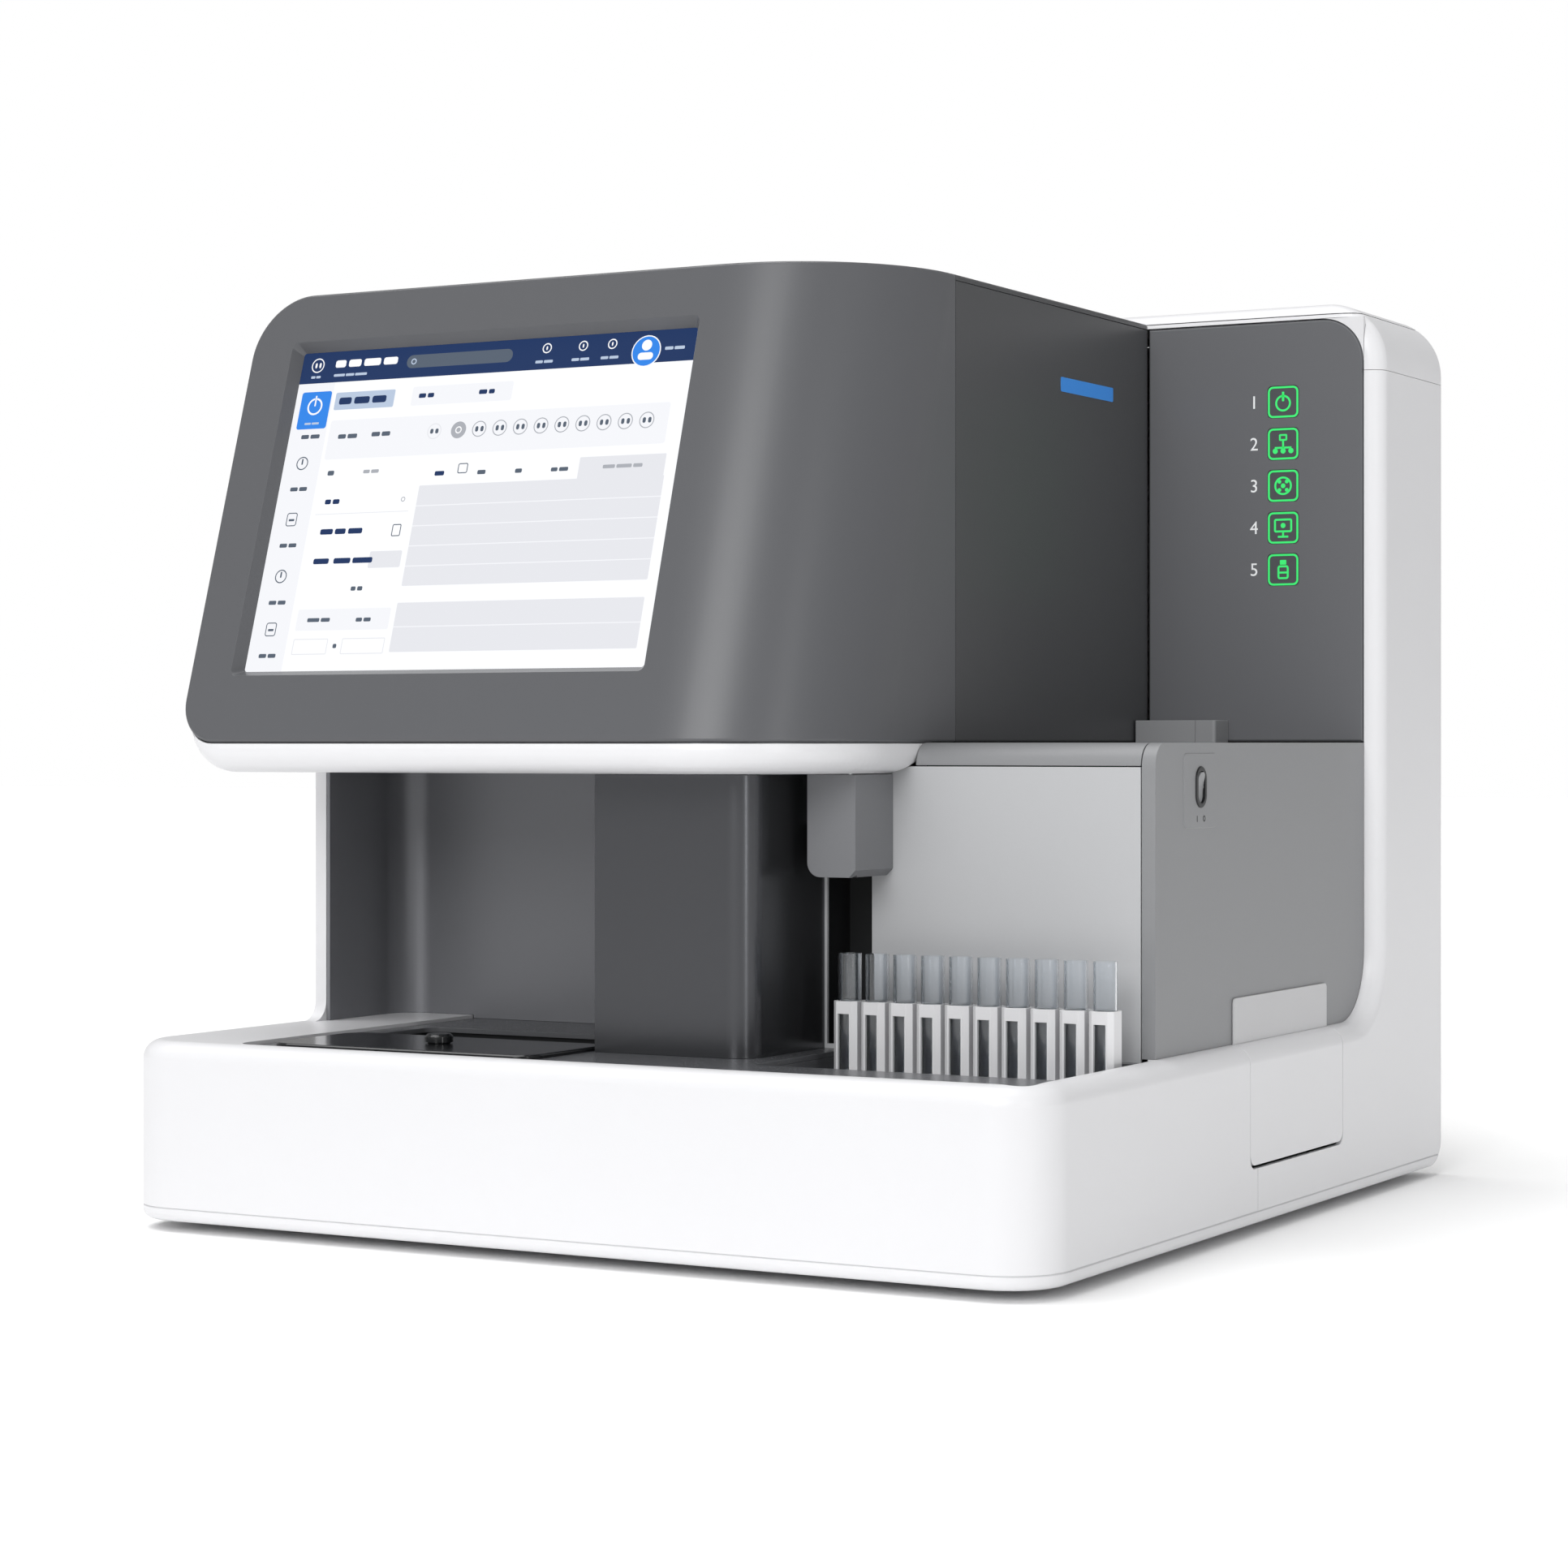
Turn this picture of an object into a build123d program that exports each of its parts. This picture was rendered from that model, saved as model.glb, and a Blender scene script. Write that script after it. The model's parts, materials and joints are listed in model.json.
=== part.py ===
from build123d import *
import os
from math import cos, radians, sin, tan

# Bench-top chemiluminescence immunoassay analyzer, in millimetres, +Z up.
# The origin is on the bench under the middle of the base. +X is the operator's
# right hand and -Y faces the operator.

os.makedirs("parts", exist_ok=True)

# Base and tower, one white moulded form
base_width = 580.0
base_depth = 614.0
base_height = 102.0
tower_height = 545.0
tower_depth = 117.0
foot_height = 6.0
shell_wall = 3.0
tray_height = 8.0
front_corner_radius = 34.0
tower_corner_radius = 38.0
rim_radius = 11.0
heel_radius = 18.0
edge_radius = 5.0
waist_radius = 42.0
groove_depth = 1.0
cover_seam_setback = 290.6
cap_height = 7.0
frame_top_band = 9.5
frame_corner_radius = 27.0
seam = 0.6
hairline = 0.3

# Feet
foot_radius = 17.0
foot_inset = 62.0
foot_recess_radius = 6.0
foot_recess_depth = 3.0
foot_chamfer = 1.0

# Body block behind the sampling area
body_inset = 11.5
body_setback = 171.0
shelf_height = 272.0
cover_wall = 2.5
cover_return = 8.0
cover_corner_radius = 13.0
toe_radius = 12.0
panel_thickness = 2.0
panel_height = 258.8
deck_recess = 2.0
deck_thickness = 3.0
deck_inset_left = 74.0
deck_setback = 11.5
deck_corner_radius = 12.0
ledge_width = 4.5

# Left bay, pillar and probe housing
bay_depth = 79.0
liner_wall = 2.5
bay_corner_radius = 20.0
pillar_offset = 213.0
pillar_width = 99.0
pillar_setback = 85.0
pillar_corner_radius = 15.0
pillar_top_gap = 0.5
slot_width = 28.5
slot_offset = 211.5
slot_height = 126.0
channel_depth = 27.0
channel_wall = 1.5
housing_width = 30.0
housing_reach = 45.0
housing_flank = 7.0
housing_height = 56.5
housing_wall = 2.0
housing_corner_radius = 8.0
housing_bevel = 4.0
probe_port_radius = 4.0

# Head with the leaning front
head_inset = 10.0
shelf_width = 156.0
head_top_gap = 6.5
head_setback = 39.6
head_lean = 16.93
head_round = 95.0
head_top_left_radius = 38.0
head_low_left_radius = 25.0
head_edge_radius = 2.0
head_wall = 3.0
head_split_setback = 222.0
top_cover_thickness = 3.5
floor_thickness = 3.0
chin_drop = 17.0
chin_left_radius = 36.0
chin_edge_radius = 12.0
chin_rise_setback = 152.0
chin_rise_radius = 40.0
chin_rise_angle = 27.0
chin_wall = 4.0
chin_boss_radius = 6.0

# Touchscreen
screen_top_gap = 34.57
screen_inset_left = 34.0
screen_inset_right = 108.0
screen_rise = 45.0
screen_radius = 2.0
bezel_slope = 4.5
bezel_depth = 7.0
bezel_width = 8.0
glass_thickness = 2.0
glass_margin = 5.0
module_thickness = 12.0
module_margin = 3.0

# Tower front with the indicators
icon_panel_thickness = 3.0
icon_panel_bevel = 1.2
indicator_width = 21.0
indicator_height = 20.3
indicator_radius = 3.0
indicator_pitch = 26.2
indicator_count = 5
indicator_offset = 64.5
indicator_drop = 60.2
lens_depth = 1.5
shelf_box_length = 55.0
shelf_box_height = 14.0
shelf_box_depth = 22.0
shelf_box_end = 13.0
shelf_box_radius = 2.0

# Sample rack, its tubes and the well that it stands in
tube_count = 10
tube_pitch = 16.97
tube_diameter = 13.0
tube_length = 75.0
tube_wall = 1.0
tube_first_offset = 176.6
tube_setback = 133.0
tube_base_height = 81.5
tube_clearance = 0.15
rack_top_height = 130.5
rack_cell_width = 14.4
rack_cell_depth = 15.6
rack_cell_chamfer = 2.7
rack_floor = 2.5
rack_spine = 1.6
window_width = 7.0
window_top_gap = 7.0
well_wall = 1.5
well_setback = 62.0
well_margin_left = 14.0
well_rear_gap = 6.0
rack_rest_gap = 0.3
rack_bar_height = 5.0

# Reagent compartment under the bay
reagent_opening_depth = 156.0
reagent_margin_left = 17.0
reagent_margin_right = 6.0
reagent_opening_setback = 26.0
reagent_opening_radius = 10.0
lid_overlap = 3.0
lid_depth = 84.0
lid_thickness = 2.5
lid_radius = 14.0
lid_lip = 3.0
lid_lip_wall = 2.0
lid_play = 0.5
lid_edge_radius = 1.0
knob_radius = 8.0
knob_height = 5.5
knob_edge_radius = 1.5
knob_setback = 66.0
pot_wall = 2.0
pot_margin = 4.0
pot_floor_height = 28.0
carousel_play = 8.0
carousel_plate = 4.0
carousel_gap = 3.0
bottle_count = 10
bottle_share = 5.76
bottle_ring = 0.75
bottle_height = 42.0
cap_share = 0.72
bottle_cap_height = 7.0
cup_depth = 2.0
shaft_radius = 4.0
shaft_clearance = 0.05
hub_radius = 14.0
shaft_length = 12.0
motor_size = 42.0
motor_radius = 4.0
motor_height = 38.0

# Reaction unit inside the body
reaction_deck_gap = 6.0
rotor_setback = 372.0
rotor_radius = 90.0
rotor_plate = 5.0
rotor_level = 150.0
cuvette_count = 24
cuvette_circle = 80.0
cuvette_size = 8.0
cuvette_height = 30.0
cuvette_flange = 1.2
reaction_deck_level = 112.0
reaction_deck_thickness = 4.0
reaction_deck_width = 300.0
reaction_deck_depth = 210.0
post_radius = 6.0
post_inset = 14.0
detector_width = 46.0
detector_height = 78.0
detector_gap = 4.0
wash_height = 70.0
wash_width = 36.0

# Sample probe and its column
probe_radius = 1.0
probe_tip_height = 202.0
probe_length = 186.0
carriage_margin = 4.0
carriage_depth_ahead = 3.0
carriage_height = 26.0
collar_radius = 2.5
collar_height = 8.0
carriage_chamfer = 2.0
column_width = 30.0
column_reach = 8.0
column_gap = 27.0
column_plate = 5.0
column_height = 135.0
column_foot = 20.0
rail_width = 9.0
rail_depth = 6.0
rail_clearance = 0.3

# Waste drawer in the base's right side
drawer_front_gap = 29.5
drawer_rear_gap = 69.0
drawer_low_height = 34.0
drawer_reveal = 2.0
drawer_depth = 150.0
drawer_wall = 2.0
drawer_bin_top = 88.0
drawer_corner_radius = 7.0
tab_thickness = 1.2
tab_height = 26.0
tab_radius = 3.0
bin_radius = 5.0
runner_width = 10.0

# Power rocker on the right side cover
switch_setback = 233.0
switch_level = 247.5
switch_width = 15.0
switch_height = 23.0
switch_frame = 1.5
switch_depth = 14.0
rocker_clearance = 0.4
rocker_tilt = 7.0
rocker_drop = 1.5
rocker_back = 2.0
rocker_rise = 2.3
rocker_dish = 40.0
rocker_pin_radius = 1.2
pad_width = 46.5
pad_height = 41.0
pad_drop = 2.0
pad_relief = 0.5
pad_radius = 3.0
switch_lap = 1.0
switch_proud = 0.8

# Chassis
plate_thickness = 2.0
plate_inset = 5.0
frame_sheet = 2.0
frame_gap = 2.5
frame_rib = 26.0
skirt_setback = 45.0

# Rear panel, fan and electrics
rear_opening_margin = 36.0
rear_opening_low = 34.0
rear_opening_drop = 50.0
rear_opening_radius = 12.0
rear_sheet = 1.5
rear_lap = 8.0
socket_panel_height = 116.0
fan_size = 92.0
fan_depth = 25.0
fan_bore = 43.0
fan_corner_radius = 5.0
fan_hub = 19.0
fan_tip_gap = 1.5
fan_blades = 7
fan_chord = 20.0
fan_blade = 1.6
fan_pitch = 38.0
fan_axle = 2.0
fan_strut = 3.0
fan_strut_width = 5.0
fan_offset = 150.0
fan_level = 330.0
grille_rings = 4
grille_pitch = 6.0
grille_spoke = 5.0
vent_length = 60.0
vent_width = 4.0
vent_pitch = 9.0
vent_count = 9
inlet_width = 28.0
inlet_height = 20.0
inlet_depth = 24.0
inlet_offset = 180.0
inlet_level = 70.0
inlet_flange = 3.0
inlet_wall = 2.0
blade_pitch = 7.0
blade_drop = 1.5
blade_width = 2.0
blade_height = 4.0
port_width = 64.0
port_height = 16.0
jack_width = 12.0
jack_height = 11.0
small_port_width = 13.0
small_port_height = 5.4
port_offset = 60.0
supply_width = 180.0
supply_height = 52.0
supply_depth = 84.0
supply_edge_radius = 2.0
supply_slot_length = 50.0
supply_slot_depth = 2.0
board_width = 150.0
board_fan_gap = 19.0
board_height = 240.0
board_level = 150.0
board_thickness = 1.6
spacer_length = 10.0
spacer_radius = 3.0
chip_height = 4.0

# Places worked out from the sizes
left, right = -base_width / 2, base_width / 2
front, rear = -base_depth / 2, base_depth / 2
base_low = foot_height
tray_top = base_low + tray_height
rim_top = base_low + base_height
tower_top = base_low + tower_height
tower_front = rear - tower_depth
cover_seam = front + cover_seam_setback
cap_split = tower_top - cap_height
frame_top = tower_top - frame_top_band
body_left, body_right = left + body_inset, right - body_inset
body_front = front + body_setback
body_rear = tower_front - hairline
shelf_top = base_low + shelf_height
panel_top = base_low + panel_height
deck_top = rim_top - deck_recess
deck_low = deck_top - deck_thickness
deck_left = left + deck_inset_left
deck_front = front + deck_setback
ledge_right = body_right - ledge_width
ledge_left = body_left + ledge_width
bay_back = body_front + bay_depth
drawer_y0 = bay_back + drawer_front_gap
drawer_y1 = tower_front - drawer_rear_gap
pillar_right = right - pillar_offset
pillar_left = pillar_right - pillar_width
pillar_front = front + pillar_setback
head_left = left + head_inset
head_right = right - shelf_width
head_width = head_right - head_left
head_top = tower_top - head_top_gap
head_foot = front + head_setback
head_split = front + head_split_setback
screen_width = head_width - screen_inset_left - screen_inset_right
lean = radians(head_lean)
screen_height = (head_top - shelf_top) / cos(lean) - screen_rise - screen_top_gap
chin_low = shelf_top - chin_drop
floor_low = shelf_top - floor_thickness
frame_top_low = floor_low - plate_thickness
plate_low = base_low + shell_wall
plate_top = plate_low + plate_thickness
tube_x = right - tube_first_offset
tube_y = front + tube_setback
tube_low = base_low + tube_base_height
rack_low = tube_low - rack_floor
rack_top = base_low + rack_top_height
rack_length = tube_pitch * (tube_count - 1) + rack_cell_width
rack_middle = tube_x + tube_pitch * (tube_count - 1) / 2
cover_inner_right = body_right - cover_return
cover_inner_left = body_left + cover_return


def at_x(x):
    """A plane across the object, drawn in Y and Z."""
    return Plane.YZ.offset(x)


def at_y(y):
    """A plane facing the operator, drawn in X and Z."""
    return Plane.XZ.offset(-y)


def at_z(z):
    """A level plane, drawn in X and Y."""
    return Plane.XY.offset(z)


def block(x0, x1, y0, y1, z0, z1, mode=Mode.ADD):
    """A straight block between two corners."""
    with Locations(((x0 + x1) / 2, (y0 + y1) / 2, (z0 + z1) / 2)):
        Box(x1 - x0, y1 - y0, z1 - z0, mode=mode)


def field(x0, x1, y0, y1, mode=Mode.ADD):
    """A straight field of a sketch between two corners."""
    with Locations(((x0 + x1) / 2, (y0 + y1) / 2)):
        Rectangle(x1 - x0, y1 - y0, mode=mode)


def round_field(x0, x1, y0, y1, radius, mode=Mode.ADD):
    """A field with four rounded corners."""
    with Locations(((x0 + x1) / 2, (y0 + y1) / 2)):
        RectangleRounded(x1 - x0, y1 - y0, radius, mode=mode)


def lean_y(z):
    """Where the leaning front of the head stands at a height."""
    return head_foot + (z - shelf_top) * tan(lean)


def shell_form(inset):
    """Base and tower as one solid with its rounded outline, moved in by inset."""
    low, rim, top = base_low + inset, rim_top - inset, tower_top - inset
    near, far, step = front + inset, rear - inset, tower_front + inset
    with BuildPart() as form:
        with BuildSketch(at_x(left + inset)) as side:
            with BuildLine():
                Polyline((near, low), (far, low), (far, top), (step, top), (step, rim), (near, rim), close=True)
            make_face()
            fillet(side.vertices().sort_by_distance((far, low))[0], heel_radius - inset)
            fillet(side.vertices().sort_by_distance((step, rim))[0], waist_radius + inset)
        extrude(amount=base_width - 2 * inset)
        fillet(form.edges().filter_by(Axis.Z).group_by(Axis.Y)[0], front_corner_radius - inset)
        fillet(form.edges().filter_by(Axis.Y).group_by(Axis.Z)[-1], tower_corner_radius - inset)
        fillet(form.edges().filter_by(Axis.X).sort_by_distance((0, near, rim))[0], rim_radius - inset)
        fillet(form.edges().filter_by(Axis.X).sort_by_distance((0, near, low))[0], edge_radius - inset)
    return form.part


def head_form(inset, low, low_left_radius, edge):
    """The head as one solid with its leaning front, moved in by inset above low."""
    skew = inset / cos(lean)
    top, floor = head_top - inset, low + inset
    back = body_rear + (1 if inset else 0)
    with BuildPart() as form:
        with BuildSketch(at_x(head_left + inset)):
            with BuildLine():
                Polyline(
                    (lean_y(floor) + skew, floor), (back, floor), (back, top), (lean_y(top) + skew, top), close=True
                )
            make_face()
        extrude(amount=head_width - 2 * inset)
        corner = form.edges().filter_by(GeomType.LINE).sort_by_distance(
            (head_right - inset, lean_y((floor + top) / 2) + skew, (floor + top) / 2)
        )[0]
        fillet(corner, head_round - inset)
        runs = form.edges().filter_by(Axis.Y)
        fillet(runs.sort_by_distance((head_left + inset, 0, top))[0], head_top_left_radius - inset)
        runs = form.edges().filter_by(Axis.Y)
        fillet(runs.sort_by_distance((head_left + inset, 0, floor))[0], low_left_radius - inset)
        if edge > inset:
            brow = form.edges().filter_by(Axis.X).sort_by_distance((0, lean_y(top) + skew, top))[0]
            fillet(brow, edge - inset)
    return form.part


shell_outer = shell_form(0)
shell_inner = shell_form(shell_wall)
head_outer = head_form(0, shelf_top, head_low_left_radius, head_edge_radius)
head_inner = head_form(head_wall, shelf_top, head_low_left_radius, 0)


def drawer_mouth(clear):
    """Cuts the drawer's opening through the right flank and rim, wider by clear."""
    y0, y1 = drawer_y0 - clear, drawer_y1 + clear
    z0 = base_low + drawer_low_height - (drawer_reveal if clear else 0)
    with BuildSketch(at_x(ledge_right)) as mouth:
        field(y0, y1, z0, rim_top + 1)
        fillet(mouth.vertices().group_by(Axis.Y)[0], drawer_corner_radius)
    extrude(mouth.sketch, amount=right - ledge_right + 1, mode=Mode.SUBTRACT)


def deck_opening():
    """Cuts the deck opening, wider over the rack than between the side covers."""
    with BuildSketch(at_z(rim_top - shell_wall - 1)) as hole:
        field(deck_left, body_right, deck_front, body_front)
        fillet(hole.vertices().group_by(Axis.Y)[0], deck_corner_radius)
        field(deck_left, ledge_right, body_front - 1, tower_front + shell_wall + 1)
        field(ledge_left, ledge_right, bay_back, tower_front + shell_wall + 1)
    extrude(hole.sketch, amount=shell_wall + 2, mode=Mode.SUBTRACT)


# Four rubber feet, each with a screw recess
with BuildPart() as rubber_feet:
    with BuildSketch(at_z(0)):
        with GridLocations(base_width - 2 * foot_inset, base_depth - 2 * foot_inset, 2, 2):
            Circle(foot_radius)
    extrude(amount=foot_height)
    chamfer(rubber_feet.edges().group_by(Axis.Z)[0], foot_chamfer)
    with BuildSketch(at_z(0)):
        with GridLocations(base_width - 2 * foot_inset, base_depth - 2 * foot_inset, 2, 2):
            Circle(foot_recess_radius)
    extrude(amount=foot_recess_depth, mode=Mode.SUBTRACT)
rubber_feet.part.label = "rubber_feet"
export_step(rubber_feet.part, "parts/rubber_feet.step")

# Shallow pan that closes the bottom, with a shadow groove under the covers
with BuildPart() as base_tray:
    add(shell_outer)
    add(shell_inner, mode=Mode.SUBTRACT)
    split(bisect_by=at_z(tray_top), keep=Keep.BOTTOM)
    chamfer(base_tray.faces().sort_by(Axis.Z)[-1].outer_wire().edges(), groove_depth)
base_tray.part.label = "base_tray"
export_step(base_tray.part, "parts/base_tray.step")

# Steel floor plate inside the pan
with BuildPart() as base_plate:
    with BuildSketch(at_z(plate_low)) as sheet:
        field(left + plate_inset, right - plate_inset, front + plate_inset, rear - plate_inset - heel_radius)
        fillet(sheet.vertices().group_by(Axis.Y)[0], front_corner_radius - plate_inset + shell_wall)
    extrude(amount=plate_thickness)
base_plate.part.label = "base_plate"
export_step(base_plate.part, "parts/base_plate.step")

# Front moulding of the base, back to the seam in its flanks
with BuildPart() as base_front_cover:
    add(shell_outer)
    add(shell_inner, mode=Mode.SUBTRACT)
    split(bisect_by=at_z(tray_top), keep=Keep.TOP)
    split(bisect_by=Plane((0, cover_seam - seam / 2, 0), z_dir=(0, 1, 0)), keep=Keep.BOTTOM)
    deck_opening()
    drawer_mouth(seam)
base_front_cover.part.label = "base_front_cover"
export_step(base_front_cover.part, "parts/base_front_cover.step")

# Rear moulding: back of the base and the tower up to its cap
with BuildPart() as rear_shell:
    add(shell_outer)
    add(shell_inner, mode=Mode.SUBTRACT)
    split(bisect_by=at_z(tray_top), keep=Keep.TOP)
    split(bisect_by=at_z(cap_split - seam / 2), keep=Keep.BOTTOM)
    split(bisect_by=Plane((0, cover_seam + seam / 2, 0), z_dir=(0, 1, 0)), keep=Keep.TOP)
    deck_opening()
    drawer_mouth(seam)
    block(body_left, body_right, tower_front - waist_radius - 1, tower_front + shell_wall + 1,
          rim_top, frame_top, mode=Mode.SUBTRACT)
    with BuildSketch(at_y(rear + 1)):
        round_field(left + rear_opening_margin, right - rear_opening_margin, base_low + rear_opening_low,
                    tower_top - rear_opening_drop, rear_opening_radius)
    extrude(amount=shell_wall + 2, mode=Mode.SUBTRACT)
rear_shell.part.label = "rear_shell"
export_step(rear_shell.part, "parts/rear_shell.step")

# Cap over the tower
with BuildPart() as tower_cap:
    add(shell_outer)
    add(shell_inner, mode=Mode.SUBTRACT)
    split(bisect_by=at_z(cap_split + seam / 2), keep=Keep.TOP)
    with BuildSketch(at_y(tower_front + shell_wall + 1)) as window:
        field(body_left, body_right, rim_top, frame_top)
        fillet(window.vertices().group_by(Axis.Y)[-1], frame_corner_radius)
    extrude(amount=shell_wall + 2, mode=Mode.SUBTRACT)
tower_cap.part.label = "tower_cap"
export_step(tower_cap.part, "parts/tower_cap.step")

# Rack well: a moulded trough hung under the deck
well_left = tube_x - rack_cell_width / 2 - well_margin_left
well_right = body_right - well_wall - seam
well_front = front + well_setback
well_back = body_front - well_rear_gap
well_floor = rack_low - rack_rest_gap
with BuildPart() as rack_well:
    with BuildSketch(at_z(well_floor - well_wall)):
        round_field(well_left - well_wall, well_right + well_wall, well_front - well_wall,
                    well_back + well_wall, deck_corner_radius / 2)
    extrude(amount=deck_low - well_floor + well_wall)
    with BuildSketch(at_z(well_floor)):
        round_field(well_left, well_right, well_front, well_back, deck_corner_radius / 2 - well_wall)
    extrude(amount=deck_top - well_floor, mode=Mode.SUBTRACT)
rack_well.part.label = "rack_well"
export_step(rack_well.part, "parts/rack_well.step")

# Reagent compartment under the bay
opening_left = deck_left + reagent_margin_left
opening_right = pillar_left - reagent_margin_right
opening_front = front + reagent_opening_setback
opening_back = opening_front + reagent_opening_depth
pot_x = (opening_left + opening_right) / 2
pot_y = (opening_front + opening_back) / 2
pot_low = base_low + pot_floor_height
opening_width = opening_right - opening_left
carousel_radius = min(opening_width, reagent_opening_depth) / 2 + pot_margin - pot_wall - carousel_play
bottle_circle = bottle_ring * carousel_radius
bottle_radius = carousel_radius / bottle_share
cap_radius = cap_share * bottle_radius
with BuildPart() as reagent_pot:
    with BuildSketch(at_z(pot_low)):
        round_field(opening_left - pot_margin, opening_right + pot_margin, opening_front - pot_margin,
                    opening_back + pot_margin, reagent_opening_radius + pot_margin)
    extrude(amount=deck_low - pot_low)
    with BuildSketch(at_z(pot_low + pot_wall)):
        round_field(opening_left - pot_margin + pot_wall, opening_right + pot_margin - pot_wall,
                    opening_front - pot_margin + pot_wall, opening_back + pot_margin - pot_wall,
                    reagent_opening_radius + pot_margin - pot_wall)
    extrude(amount=deck_top - pot_low, mode=Mode.SUBTRACT)
    with Locations((pot_x, pot_y, pot_low)):
        Cylinder(shaft_radius + 1, 3 * pot_wall, mode=Mode.SUBTRACT)
reagent_pot.part.label = "reagent_pot"
export_step(reagent_pot.part, "parts/reagent_pot.step")

# Dark deck plate with the mouths of the rack well and the reagent compartment
with BuildPart() as deck_insert:
    with BuildSketch(at_z(deck_low)) as plate:
        field(deck_left + seam, body_right - seam, deck_front + seam, body_front - 1)
        fillet(plate.vertices().group_by(Axis.Y)[0], deck_corner_radius - seam)
        field(deck_left + seam, ledge_right - seam, body_front - 2, bay_back + liner_wall)
        round_field(well_left, well_right, well_front, well_back, deck_corner_radius / 2 - well_wall,
                    mode=Mode.SUBTRACT)
        round_field(opening_left, opening_right, opening_front, opening_back, reagent_opening_radius,
                    mode=Mode.SUBTRACT)
    extrude(amount=deck_thickness)
deck_insert.part.label = "deck_insert"
export_step(deck_insert.part, "parts/deck_insert.step")

# Bent steel table that carries the deck plate
table_low = deck_low - plate_thickness
with BuildPart() as deck_frame:
    with BuildSketch(at_z(table_low)):
        field(deck_left + seam, body_right - seam, front + skirt_setback, bay_back)
        field(well_left - well_wall - hairline, body_right, well_front - well_wall - hairline,
              well_back + well_wall + hairline, mode=Mode.SUBTRACT)
        field(opening_left - pot_margin - hairline, opening_right + pot_margin + hairline, front,
              opening_back + pot_margin + hairline, mode=Mode.SUBTRACT)
    extrude(amount=plate_thickness)
    block(deck_left + seam, deck_left + seam + frame_sheet, front + skirt_setback, bay_back, plate_top, table_low)
    block(pillar_left, pillar_left + frame_sheet, front + skirt_setback, bay_back, plate_top, table_low)
    block(pillar_right - frame_sheet, pillar_right, front + skirt_setback, bay_back, plate_top, table_low)
    block(ledge_right - frame_sheet, ledge_right, well_back + well_wall + hairline, bay_back, plate_top, table_low)
deck_frame.part.label = "deck_frame"
export_step(deck_frame.part, "parts/deck_frame.step")


def side_outline(inset, top):
    """Outline of a side cover up to top, seen from the side, moved in by inset."""
    near, far = body_front + inset, body_rear - inset
    low, high = rim_top + inset, top - inset
    with BuildLine() as edges:
        Polyline((near, low), (far, low), (far, high), (near, high), close=True)
    make_face(edges.edges())


# Mid-grey side cover with the switch field, right flank of the body
switch_y = front + switch_setback
switch_z = base_low + switch_level
with BuildPart() as right_side_cover:
    with BuildSketch(at_x(cover_inner_right)) as outline:
        side_outline(0, shelf_top)
        fillet(outline.vertices().sort_by_distance((body_front, shelf_top))[0], cover_corner_radius)
        fillet(outline.vertices().sort_by_distance((body_rear, rim_top))[0], waist_radius)
    extrude(amount=cover_return)
    with BuildSketch(at_x(cover_inner_right)) as hollow:
        side_outline(cover_wall, shelf_top)
        fillet(hollow.vertices().sort_by_distance((body_front, shelf_top))[0], cover_corner_radius - cover_wall)
        fillet(hollow.vertices().sort_by_distance((body_rear, rim_top))[0], waist_radius - cover_wall)
    extrude(amount=cover_return - cover_wall, mode=Mode.SUBTRACT)
    with BuildSketch(at_x(body_right)):
        with Locations((switch_y, switch_z - pad_drop)):
            RectangleRounded(pad_width, pad_height, pad_radius)
    extrude(amount=pad_relief)
    with BuildSketch(at_x(cover_inner_right)):
        with Locations((switch_y, switch_z)):
            SlotOverall(switch_height - 2 * switch_lap, switch_width - 2 * switch_lap, rotation=90)
    extrude(amount=cover_return + pad_relief + 1, mode=Mode.SUBTRACT)
right_side_cover.part.label = "right_side_cover"
export_step(right_side_cover.part, "parts/right_side_cover.step")

# The chin's underside, which turns up behind the bay's mouth
rise_angle = radians(chin_rise_angle)
rise_run = (chin_drop - chin_rise_radius * (1 - cos(rise_angle))) / tan(rise_angle)
rise_start = front + chin_rise_setback
chin_tail = rise_start + chin_rise_radius * sin(rise_angle) + rise_run

# Plain side cover on the left, cut out under the chin, with a toe that runs out on the base's rim
with BuildPart() as left_side_cover:
    with BuildSketch(at_x(body_left)) as outline:
        side_outline(0, floor_low - hairline)
        fillet(outline.vertices().sort_by_distance((body_rear, rim_top))[0], waist_radius)
        with BuildLine():
            toe = RadiusArc((body_front - toe_radius, rim_top), (body_front, rim_top + toe_radius), -toe_radius)
            Polyline(toe @ 1, (body_front, rim_top), toe @ 0)
        make_face()
    extrude(amount=cover_return)
    with BuildSketch(at_x(body_left + cover_wall)) as hollow:
        side_outline(cover_wall, floor_low - hairline)
        fillet(hollow.vertices().sort_by_distance((body_rear, rim_top))[0], waist_radius - cover_wall)
    extrude(amount=cover_return, mode=Mode.SUBTRACT)
    with BuildSketch(at_x(left)):
        with BuildLine():
            rise = JernArc((rise_start, chin_low - seam), (1, 0), chin_rise_radius, chin_rise_angle)
            slope = Line(rise @ 1, (chin_tail, shelf_top - seam))
            Polyline(slope @ 1, (chin_tail + seam, shelf_top), (front, shelf_top), (front, chin_low - seam), rise @ 0)
        make_face()
    extrude(amount=base_width, mode=Mode.SUBTRACT)
left_side_cover.part.label = "left_side_cover"
export_step(left_side_cover.part, "parts/left_side_cover.step")

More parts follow.
